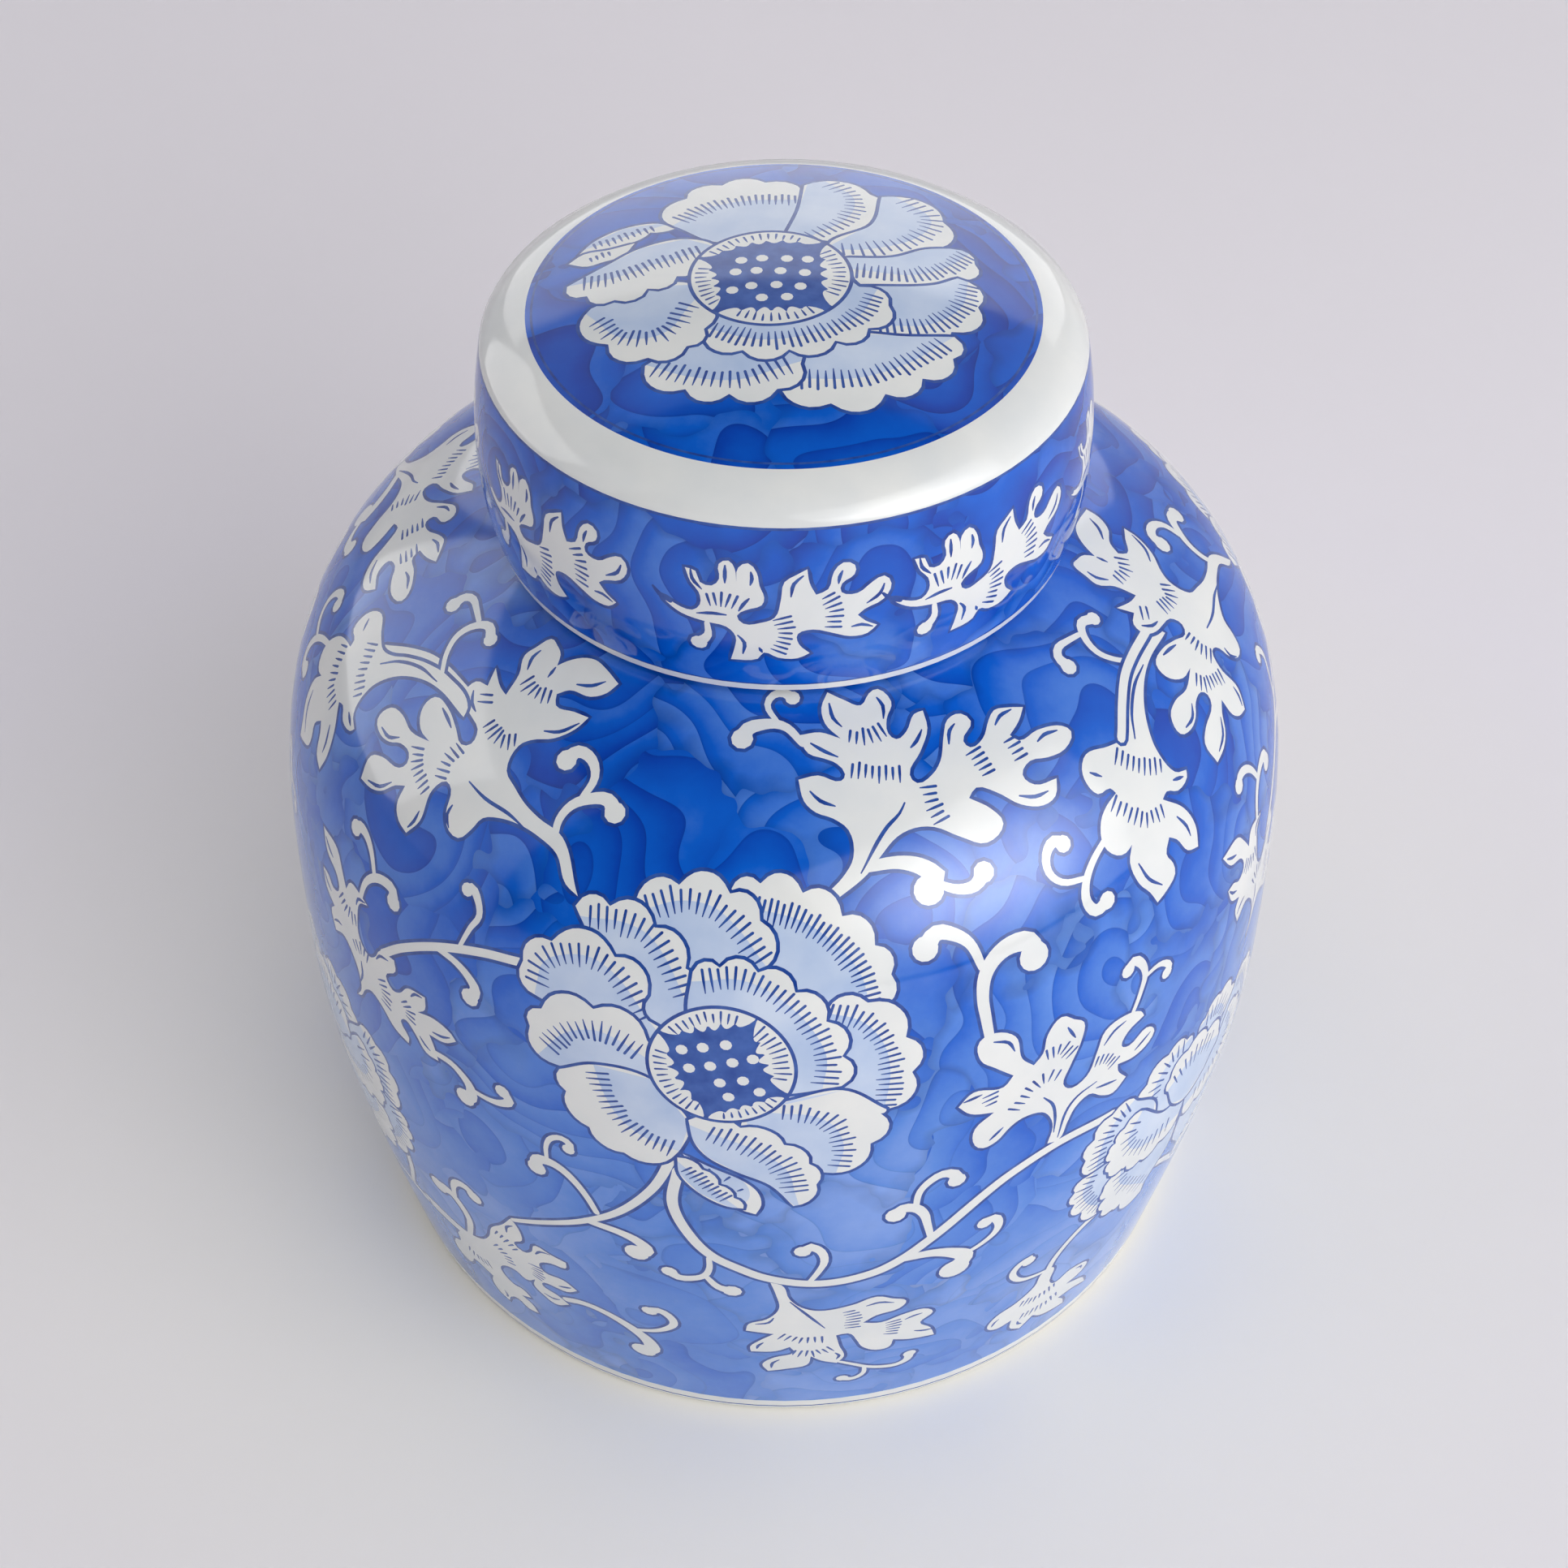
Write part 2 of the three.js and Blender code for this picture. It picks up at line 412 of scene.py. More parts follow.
UPPER_LEFT_LEAF = [
    (-46.8, 204.5), (-47.6, 209.5), (-49.5, 213.3), (-49, 216), (-48, 219.3), (-46, 219), (-44, 217.8),
    (-43, 215.5), (-42, 217.5), (-40, 219.7), (-37.5, 220.7), (-34.5, 220), (-30.8, 218.2), (-31.8, 215.4),
    (-34, 213.3), (-38, 212.5), (-39.5, 210.5), (-38.4, 208.4), (-35, 209), (-32.3, 209.2), (-33.2, 206),
    (-35.5, 202.3), (-38.5, 199.8), (-39.7, 197.5), (-39.2, 192), (-37, 190), (-34.5, 188), (-32, 186.7),
    (-28, 185), (-24, 175), (-25.8, 176.5), (-28, 181.5), (-31, 183.3), (-34, 183.8), (-37, 183),
    (-39, 181.3), (-39.8, 178), (-41, 175), (-42.6, 175.2), (-44, 177.8), (-45, 182.5), (-46.2, 183.2),
    (-47.4, 180), (-47, 173), (-48.2, 168.7), (-50, 169.7), (-51.2, 172), (-51.4, 176.5), (-52.8, 175),
    (-54.5, 171.5), (-56.2, 170), (-58.5, 169.5), (-58.8, 175), (-57, 177), (-53.7, 178.3), (-53, 180.3),
    (-53.7, 182.2), (-55.7, 182.2), (-57.5, 180.4), (-59.5, 179.8), (-61.5, 181.2), (-60.9, 185.3),
    (-58.5, 186.4), (-55.5, 185.6), (-52, 187), (-54.5, 187.5), (-56.6, 191), (-56.2, 194.2), (-53, 194.6),
    (-49.7, 192.7), (-47.5, 191), (-46.2, 192.4), (-46.8, 195.5), (-48.5, 196.5), (-51, 197.5),
    (-52.9, 199.7), (-52.7, 202.5), (-50.5, 203.5), (-51.8, 207.3), (-48.5, 205),
]
UPPER_LEFT_VEINS = [
    [(-47.8, 216), (-48, 214), (-47, 211.3)], [(-37.5, 214.3), (-35, 215.5), (-33.2, 217.5)],
    [(-37.5, 202.7), (-35.3, 204), (-33.2, 207.3)], [(-51.8, 200.8), (-50.5, 198.8), (-49, 198)],
    [(-53.8, 193.8), (-51.8, 193), (-50.5, 192.2)], [(-60, 181), (-58, 181), (-56.5, 182.8)],
    [(-57.2, 170.7), (-55, 172), (-53.6, 174.8)], [(-48.3, 170), (-47.8, 172), (-47.7, 174.5)],
    [(-43.7, 180), (-43.8, 177.8), (-42.8, 175.7)], [(-43, 215), (-42.9, 212.5)],
    [(-43.2, 186), (-40, 185), (-36, 184.7), (-33, 183.5)],
]
UPPER_LEFT_HATCHES = [
    ([(-46.2, 209.4), (-43, 208.2), (-39.8, 209.6)], 10), ([(-46.3, 198), (-43, 196.4), (-40.3, 198.4)], 10),
    ([(-47.4, 191), (-47.8, 187), (-47, 182.5)], 8),
    ([(-53, 185), (-52, 182), (-50.5, 180.3), (-48, 178.5)], 8), ([(-49.7, 202.8), (-48.5, 200)], 3),
]

HANGING_LEAF = [
    (69.5, 197.5), (63, 199), (58, 197), (54.5, 194), (52, 191), (50, 189.8), (47.5, 190.5), (43.8, 192),
    (42, 190), (41.5, 187), (42.2, 184), (44.2, 183.5), (44.6, 182), (42.5, 181), (40.8, 179), (39.8, 174.5),
    (41, 171), (42.3, 170.3), (43.5, 171), (42.4, 168), (42.8, 162.5), (44, 159), (44.8, 155.5),
    (46.5, 156.5), (48.3, 158.5), (48.4, 161), (47.8, 164), (49, 166.7), (50, 165), (51.2, 160.7),
    (53, 159.3), (53.6, 164), (52.8, 169.4), (50.4, 174.3), (51.5, 175), (53.2, 173.2), (55.5, 173.7),
    (56, 175), (54.2, 176.7), (53.6, 183), (54.5, 187), (56.5, 191), (60, 194.5), (64, 196), (70, 195.5),
]
HANGING_VEINS = [
    [(42.8, 188.5), (44, 186.5)], [(43.5, 166.5), (44.3, 162), (46, 158.5)],
    [(51.3, 169), (52.2, 165.5), (52.3, 163)], [(53.3, 175.7), (55, 174.5)],
    [(51.8, 188), (54, 192), (58, 195.5), (62, 196.5)],
]
HANGING_HATCHES = [
    ([(47.3, 188.4), (49.4, 184.3), (51.2, 181.5), (53, 179.3)], 9),
    ([(43.2, 181), (44.5, 177.8), (46.8, 173.4), (50, 172)], 10),
]

TOP_LEAF = [
    (5.5, 182.3), (7, 184.5), (8.6, 188.3), (8.4, 193.7), (6.5, 196.3), (4.3, 197.7), (2.8, 200),
    (2.1, 204.5), (5, 205.2), (8.3, 203.7), (9, 205), (8, 207.3), (6.2, 208.6), (3.8, 209.9), (2.3, 213.8),
    (6, 214.2), (9.2, 212.5), (7, 216), (6.7, 219.5), (8.2, 222.8), (11, 220.7), (13.8, 219), (15.8, 221.2),
    (17.7, 221.8), (19.3, 218.5), (17.5, 215), (17, 212), (18, 210.4), (20, 211.5), (22.3, 214.6),
    (24, 214.8), (23.5, 211), (21, 206.7), (18.3, 202.6), (19, 200.6), (21.5, 201.5), (23.4, 203.7),
    (25.5, 208.5), (27.2, 211.3), (29.8, 211.5), (30.7, 209.3), (28, 206), (28.6, 204.3), (31, 205),
    (33.5, 208), (35.2, 209.3), (37.5, 208.5), (39.8, 207), (37.8, 205), (35.2, 203.3), (36, 201.5),
    (39.5, 201.5), (43.3, 199.5), (44, 197.5), (41.5, 195.3), (38.5, 195.7), (35.8, 196.8), (33.8, 195),
    (34.7, 192.2), (38, 191.2), (36.6, 188.2), (34.5, 187.7), (31.7, 189.8), (29.2, 194), (26.8, 196.3),
    (25.3, 194.8), (27.6, 191.3), (28.4, 187.7), (25.5, 185.3), (22.5, 188), (19.5, 191.3), (17, 192),
    (14.5, 191), (12, 187.8), (10, 184.6), (6.5, 180.8),
]
TOP_VEINS = [
    [(16.5, 197.3), (15.5, 195.5), (13.5, 193.3), (11.8, 190.5), (9.3, 185)],
    [(8.2, 220.3), (8.5, 217), (9.7, 215)], [(17, 220), (17.6, 218), (17, 215.3)],
    [(4.3, 212), (6.5, 210), (8.3, 208.7)], [(3.7, 202), (5, 200), (7, 198.7)],
    [(19.8, 208), (21, 209), (22.5, 211)], [(25.7, 206.5), (26.7, 209), (28, 210)],
    [(34, 206.5), (35.5, 207.7), (37.8, 207.8)], [(38.5, 199.5), (40, 200), (42.2, 199.3)],
    [(32, 191.5), (34, 190), (36, 189.8)],
]
TOP_HATCHES = [
    ([(10.2, 213), (13.5, 212), (16.8, 213)], 7), ([(9.6, 205.6), (13.5, 204.2), (17.4, 203)], 9),
    ([(20.5, 200), (20.2, 196), (20.8, 191.5)], 7), ([(28.6, 204), (29, 200.5), (29.2, 197.5)], 6),
    ([(34.6, 203.2), (34.8, 197.6)], 5),
]

RIGHT_LEAF = [
    (29.5, 103), (30, 108), (29.5, 112), (28.4, 114.9), (26, 115.7), (24.6, 114.3), (23, 111),
    (21.5, 110.2), (20.5, 112), (20.4, 117.5), (22.5, 121), (19.8, 122.8), (18.4, 126), (20, 129.2),
    (23.5, 128), (24.6, 130.5), (22.5, 134.5), (20.8, 138), (20.7, 143.3), (22.5, 144.3), (24.8, 141.5),
    (25.6, 134.5), (27, 131.2), (28.1, 133.5), (28.7, 138.5), (30.4, 141.6), (32, 139.3), (33.3, 137),
    (33, 132), (31.7, 126), (30.9, 121), (32.1, 118.3), (34, 119.6), (35.3, 126), (36.3, 130.8), (39, 131.7),
    (41.5, 129.5), (42, 127.5), (39.6, 125.8), (38.8, 122.7), (40, 121), (42.6, 122.8), (44, 119.5),
    (43.2, 117.2), (41, 116), (38.5, 117.2), (38.6, 115), (40, 110.8), (38.2, 108.2), (36.4, 110),
    (34.6, 112.9), (32.9, 111.2), (31.9, 107), (31, 102.5),
]
RIGHT_VEINS = [
    [(28.5, 119.5), (29.7, 116), (30.2, 111), (30.2, 106)],
    [(35.5, 115.8), (33, 114.5), (31.8, 112), (30.8, 103.5)], [(22.3, 142), (24, 140.5), (24.7, 137.5)],
    [(31.2, 137.8), (32.2, 133.8)], [(19, 127), (21, 127.8)], [(22.2, 112.2), (23.7, 115)],
    [(36.2, 126.5), (37.5, 129), (39.2, 129.8)], [(41, 118), (43.3, 120.3)], [(35.6, 113.6), (38.5, 112)],
]
RIGHT_HATCHES = [
    ([(24.8, 118.6), (26.5, 123.5), (28.5, 125.8), (30.4, 124)], 8),
    ([(28.3, 132.3), (30.3, 132.6), (31.9, 129)], 6), ([(21.9, 127.6), (22.3, 123.4)], 4),
    ([(35, 122.8), (36.8, 121.3), (38, 118)], 6),
]

LEFT_LEAF = [
    (-55.1, 112.3), (-54, 116), (-54, 120), (-54.8, 124), (-57, 127.4), (-59.3, 125.3), (-60.1, 130.5),
    (-59.2, 132.8), (-61.3, 135.2), (-62.2, 139.5), (-60.8, 139.6), (-59.4, 138), (-58, 139.5),
    (-58.5, 143), (-61.3, 145.6), (-62.9, 150), (-59, 149.8), (-57.6, 146.7), (-56.3, 142.8), (-55.4, 146),
    (-53.5, 145.9), (-51.8, 145), (-53.3, 143.3), (-53.7, 138.5), (-53.3, 133), (-51.6, 130.7),
    (-50.3, 132.4), (-49.2, 136), (-46.7, 137), (-46.5, 134), (-48.3, 129.8), (-47.2, 127.3), (-45.9, 128.5),
    (-44.5, 132),
    (-41.7, 133.3), (-41.8, 129.5), (-43, 127), (-40.5, 128.6), (-38, 127.6), (-37.3, 126), (-39, 123.3),
    (-41.4, 122.4), (-40.8, 119.5), (-40.3, 115.5), (-42.2, 115.3), (-43.8, 119), (-45.2, 121), (-46.2, 119),
    (-45, 115.6), (-45.2, 113.5), (-47.5, 114.5), (-49.8, 118.3), (-51.5, 119.5), (-53, 117.5),
    (-54.2, 113.5),
]
LEFT_VEINS = [
    [(-59.5, 128), (-58.5, 129.5), (-57.5, 129.9)], [(-61.8, 138.8), (-61, 137), (-60, 136)],
    [(-62, 148.5), (-60.8, 147), (-59.8, 146.2)], [(-54, 142), (-53.7, 144), (-52.3, 145)],
    [(-50, 132.3), (-49.3, 134.3), (-47.8, 135.2)], [(-44, 130.3), (-43.3, 132), (-42.2, 132.5)],
    [(-40.8, 124), (-39.3, 124.7), (-38.2, 126)], [(-43, 119.3), (-42.3, 117.8), (-41.5, 117)],
    [(-53.3, 126), (-53.3, 122), (-54, 118.3)],
]
LEFT_HATCHES = [
    ([(-57.8, 139.3), (-55.5, 136.8), (-53.8, 137.3)], 6),
    ([(-54.8, 128.5), (-53.3, 130), (-51.5, 129.3)], 6),
    ([(-49.5, 127.5), (-48.6, 124), (-49, 119.5)], 7), ([(-45.4, 127.3), (-44.3, 124.5), (-44.5, 121.8)], 5),
]

LOW_LEFT_LEAF = [
    (-32.7, 70.3), (-34.3, 65), (-36.5, 59.5), (-37.7, 53), (-39.5, 48), (-42, 45.3), (-52, 42.4),
    (-52, 40.6), (-44.5, 41), (-45.4, 38), (-45.6, 34), (-47.4, 30.5), (-48, 24), (-46.4, 22), (-44.9, 24.8),
    (-44, 28), (-40.8, 26.5), (-41.5, 22), (-40.8, 17.5), (-39.4, 16.4), (-38.6, 20), (-37, 22.5),
    (-35.5, 20.2), (-33.8, 21), (-34.4, 25), (-35.8, 26.8), (-34, 29), (-35, 31.5), (-36.6, 31.3),
    (-38, 36), (-36.4, 41), (-34.8, 41.8), (-33.5, 40), (-31.8, 43), (-32.3, 38.6), (-31.3, 36), (-29.8, 34),
    (-27.4, 37.5), (-28.7, 40), (-30.8, 41.8), (-30.4, 44), (-27, 45), (-25.4, 48), (-27, 50.8),
    (-29.7, 50.6), (-30.1, 54), (-28.2, 57.3), (-26.2, 58), (-25.9, 61.2), (-28, 62), (-29.8, 63),
    (-30.8, 58.5), (-32.2, 56.2), (-33.3, 58), (-31.8, 62), (-31.7, 66), (-32.2, 69),
]
LOW_LEFT_VEINS = [
    [(-34, 62), (-33.7, 65), (-32.7, 67)], [(-30.2, 58.5), (-29.3, 61), (-28, 61.7)],
    [(-28, 46.3), (-27, 47.3), (-26.2, 48.3)], [(-31, 37.3), (-29.8, 36.8), (-28.7, 38)],
    [(-39.5, 21.5), (-39.3, 19.5), (-39.6, 18)],
]
LOW_LEFT_HATCHES = [
    ([(-36.3, 58.5), (-34.7, 56.8), (-33.2, 54.3)], 6), ([(-37.3, 50.5), (-35.8, 48), (-35, 44)], 7),
    ([(-31, 52), (-30.8, 48), (-31.5, 44.5)], 6), ([(-44.5, 33), (-42.5, 32), (-40, 33)], 6),
]

LOW_MIDDLE_LEAF = [
    (-1.5, 71.5), (-0.9, 66), (-0.6, 59), (-2, 53.8), (-4.1, 51), (-4.5, 47.3), (-1.2, 46), (-3, 42),
    (-4.1, 38.5), (-4, 35.8), (-1, 36.4), (0.7, 38.8), (1.2, 35.5), (-1.2, 32.7), (-2.7, 28.5), (-2, 24.6),
    (0.3, 26), (2.8, 28), (3.3, 33), (4.6, 30.2), (6.6, 28), (7.4, 31.5), (6.7, 38), (6.2, 44), (7.6, 44.5),
    (8.8, 40), (9.6, 35.8), (11.4, 32.7), (12.9, 32.9), (13.4, 37), (15.3, 35.3), (18.8, 34), (18, 39),
    (16.5, 43.5), (17.9, 47.5), (16.6, 50.6), (14, 50), (11.5, 48), (9.3, 49.3), (10.8, 52.2), (13.5, 53.8),
    (14.2, 57), (12.4, 59.6), (10.6, 61.7), (7.8, 59.2), (4, 57.7), (2, 59.7), (0.6, 64), (-0.3, 70.5),
]
LOW_MIDDLE_VEINS = [
    [(-3.3, 51), (-1.8, 52), (-1.2, 54.5)], [(-2.5, 41), (-3.1, 39.3), (-3.3, 37.5)],
    [(-0.6, 31.3), (-1.4, 29.5), (-1.6, 26.5)], [(6.3, 34), (6.8, 32.3), (6.5, 30.3)],
    [(9.5, 57.8), (11, 58.6), (12.7, 57.3)], [(14.5, 47), (15.5, 48), (16.5, 48.3)],
    [(16, 39.3), (17, 38.3), (18.5, 37.7)], [(0.7, 62.5), (2.5, 56.5), (4.8, 48.5)],
]
LOW_MIDDLE_HATCHES = [
    ([(7.5, 56.8), (8, 52), (8, 46.8)], 7), ([(-0.7, 45), (2, 42.3), (5, 42.3)], 7),
    ([(0.8, 35.5), (3.5, 34.5), (6, 37)], 7), ([(13, 48), (13.3, 44), (12.8, 40)], 6),
]

LOW_RIGHT_LEAF = [
    (33.3, 44), (32.6, 37.8), (30.4, 33.2), (27.7, 30.5), (26.8, 25.4), (28.6, 22), (30.7, 23), (31, 18),
    (33, 14), (34.7, 18), (36.6, 14.4), (41, 11.5), (40.4, 15), (39, 18.5), (41.5, 18.3), (44.5, 15.5),
    (43.3, 20), (39.5, 25), (42, 26.5), (42.5, 30), (40.8, 32.8), (38.5, 33.8), (36.7, 32), (35.3, 35),
    (34.6, 44),
]
LOW_RIGHT_VEINS = [
    [(27.5, 25), (27.8, 27), (28.3, 28)], [(32, 19.8), (32.3, 18), (33, 16.8)],
    [(40.3, 31.5), (41.3, 30.5), (41.5, 29)],
]
LOW_RIGHT_HATCHES = [([(31, 30.5), (34, 29.3), (37, 30.5)], 8), ([(32, 22), (35.5, 21), (38.5, 22.5)], 8)]

LEAVES = [
    (UPPER_LEFT_LEAF, UPPER_LEFT_VEINS, UPPER_LEFT_HATCHES), (HANGING_LEAF, HANGING_VEINS, HANGING_HATCHES),
    (TOP_LEAF, TOP_VEINS, TOP_HATCHES), (RIGHT_LEAF, RIGHT_VEINS, RIGHT_HATCHES),
    (LEFT_LEAF, LEFT_VEINS, LEFT_HATCHES), (LOW_LEFT_LEAF, LOW_LEFT_VEINS, LOW_LEFT_HATCHES),
    (LOW_MIDDLE_LEAF, LOW_MIDDLE_VEINS, LOW_MIDDLE_HATCHES),
    (LOW_RIGHT_LEAF, LOW_RIGHT_VEINS, LOW_RIGHT_HATCHES),
]

# (widths in millimetres, line)
STEMS = [
    ((2.3, 1.8, 1.3), [(-12, 113), (-13, 107), (-14.3, 101.5), (-18, 91.3), (-22.5, 83.5), (-28, 76),
                       (-32.3, 70.4)]),
    ((2.4, 2.8, 2.4), [(-11.2, 110), (-11.9, 98), (-9.8, 86.5), (-7.8, 81), (-5, 77), (-2, 73.5), (4, 70.7),
                       (10, 73.2), (13, 77), (16, 82.5), (22, 93.5), (25, 97.5), (31, 101.3), (38.5, 100.5)]),
    ((2.0, 2.0), [(-28.8, 157), (-34, 154.8), (-40, 149.8), (-45.5, 142.3), (-48.7, 136)]),
    ((2.0, 2.0), [(-51, 199.5), (-58, 199.5), (-62, 198.3), (-66, 195), (-70, 190)]),
    ((2.0, 1.8), [(40.5, 61), (37.5, 57.5), (35.5, 53), (34.3, 48), (33.9, 42)]),
    ((2.0, 2.0), [(50.5, 58), (53, 54.5), (55.5, 50), (58, 45), (62, 42), (69, 41.4)]),
    ((2.0, 1.6), [(69, 66), (68.5, 56), (67.5, 50), (66, 43)]),
]

# (radius of the ball, line that ends at the ball)
TENDRILS = [
    (2.3, [(-20.7, 88.5), (-21.7, 93), (-23, 97), (-24.5, 99.8), (-26, 100.8), (-27.5, 100), (-27.7, 97)]),
    (1.5, [(-26.3, 101), (-26.2, 106.5), (-25.5, 109.5), (-24.2, 110.8), (-23.3, 109.7), (-23.5, 107.8)]),
    (2.8, [(-22, 84.3), (-17.8, 83.3), (-16, 81.5), (-15.2, 79), (-16.4, 77)]),
    (1.9, [(-8.2, 80), (-8.2, 76), (-8.8, 72.5), (-10, 70.7), (-11.8, 70), (-12.8, 71.8)]),
    (2.2, [(-8.6, 72), (-7.3, 68), (-5.8, 66.8)]),
    (1.9, [(2.8, 71.5), (3.8, 76), (4.4, 80), (4, 84), (3, 86), (2, 84.3)]),
    (2.3, [(16.2, 83), (15.6, 89), (15.2, 92.5), (14.2, 95.3), (12.8, 96), (12, 94.2)]),
    (2.1, [(14.2, 95.5), (14.6, 101), (15.8, 104), (17, 105.2), (18.3, 104.3), (18.7, 101.8)]),
    (3.6, [(13, 77), (16.5, 76.7), (19, 74.5), (20.5, 71.5), (19.5, 67)]),
    (1.9, [(20.2, 72), (22.5, 74.5), (24, 77.5), (24.3, 80.5), (23.5, 83.5), (22.5, 82.8)]),
    (3.0, [(-27.6, 40), (-25.5, 42), (-23.5, 42.3), (-21, 40.5), (-18.5, 36.5), (-17, 32), (-16.8, 28),
           (-18, 26)]),
    (1.9, [(-18.5, 37), (-15.8, 39.5), (-14.3, 42), (-13.2, 45.5), (-13.5, 49), (-14.8, 51.3), (-16, 50)]),
    (2.6, [(-42, 45), (-41.2, 50), (-40.7, 55), (-41.3, 59.5), (-42.8, 62.8), (-45, 61.5)]),
    (2.2, [(-42, 62.5), (-41.5, 68.5), (-40.5, 71.3), (-39, 72), (-38, 70)]),
    (1.6, [(7, 28.5), (8.8, 26), (10.5, 23.5), (12.5, 21.8), (14.5, 21.3), (15.8, 23), (16, 26.3)]),
    (1.5, [(10.2, 23.5), (10.2, 20), (9.5, 18), (8.5, 17.3), (7.5, 18.3)]),
    (3.3, [(21.8, 144), (21.5, 149), (21.3, 154), (21.8, 159), (23.2, 162.3), (25.2, 163.8), (27.3, 163),
           (27.7, 159.5)]),
    (2.7, [(21.6, 161), (20.5, 167), (19, 169.5), (17, 170.7), (15.5, 168)]),
    (1.8, [(40, 130), (41.3, 135.5), (42, 140), (41.3, 144), (40.3, 145.5), (39.5, 144)]),
    (1.6, [(42, 139), (44, 139.5), (45.2, 138.5), (45.9, 136.5), (45.5, 135.3)]),
    (2.0, [(41, 176), (37.5, 172.5), (35.8, 169), (35.4, 165.5), (36.3, 162.8), (38, 163.5)]),
    (1.8, [(36, 170.4), (33, 172), (31.8, 175), (32.2, 178.5), (33.8, 180.3), (34.8, 179)]),
    (1.8, [(58, 211), (55, 212), (53, 212.3), (51.5, 211), (51.5, 208)]),
    (1.6, [(61.5, 198.5), (59, 202), (57.7, 206), (58.5, 210), (60.5, 212), (63, 210.5)]),
    (2.2, [(3, 212), (0.5, 215.5), (-1.5, 216.3), (-4, 216), (-6, 215), (-6.8, 212.8)]),
    (1.5, [(-1, 216.5), (-3, 220.5), (-2, 222.6), (0, 223.1), (1.6, 222)]),
    (3.1, [(9.5, 186), (14, 186), (16.5, 184.5), (18.2, 182), (17, 179.5)]),
    (2.2, [(17.6, 181), (20.5, 178.2), (22.5, 178), (24, 180)]),
    (2.2, [(-29, 184.5), (-29.3, 188), (-28.5, 191.5), (-26.5, 194), (-24, 195), (-22.5, 193)]),
    (2.2, [(-27.5, 193.5), (-27, 198.5), (-28.5, 201.5), (-31, 202), (-32, 199.5)]),
    (1.9, [(-51, 153.5), (-52.5, 158.5), (-54, 160.7), (-55.5, 161), (-56.2, 159.8)]),
    (2.1, [(-53.3, 144.5), (-52.5, 150.5), (-51.2, 153.5), (-49.5, 155), (-47.8, 154.7), (-47.4, 152.2)]),
    (1.5, [(-37, 153.5), (-36, 159), (-35.2, 162.5), (-35.8, 165.5), (-37, 167.3), (-37.5, 166.5)]),
    (2.2, [(-40.5, 149.5), (-37.3, 148.8), (-35.5, 147), (-34.5, 144.5), (-35.2, 141.8)]),
    (2.5, [(-41, 117.5), (-38.3, 117.7), (-36.8, 116), (-35.8, 113.5), (-35.8, 110.5), (-36.7, 109)]),
    (1.9, [(-36, 113), (-33, 113), (-31.5, 114), (-30.5, 116), (-31.3, 118)]),
    (1.8, [(33.9, 44), (31.5, 45), (29.8, 46.5), (28.5, 49.5), (28, 53), (28.8, 56), (30, 56.8),
           (30, 55.3)]),
]


def scrolls(art):
    """Leaves, stems and tendrils, in one group so that they grow out of each other."""
    for widths, line in STEMS:
        art.stem(line, widths)
    for ball, line in TENDRILS:
        art.tendril(line, ball)
    for outline, veins, hatches in LEAVES:
        art.leaf(outline, veins, hatches)


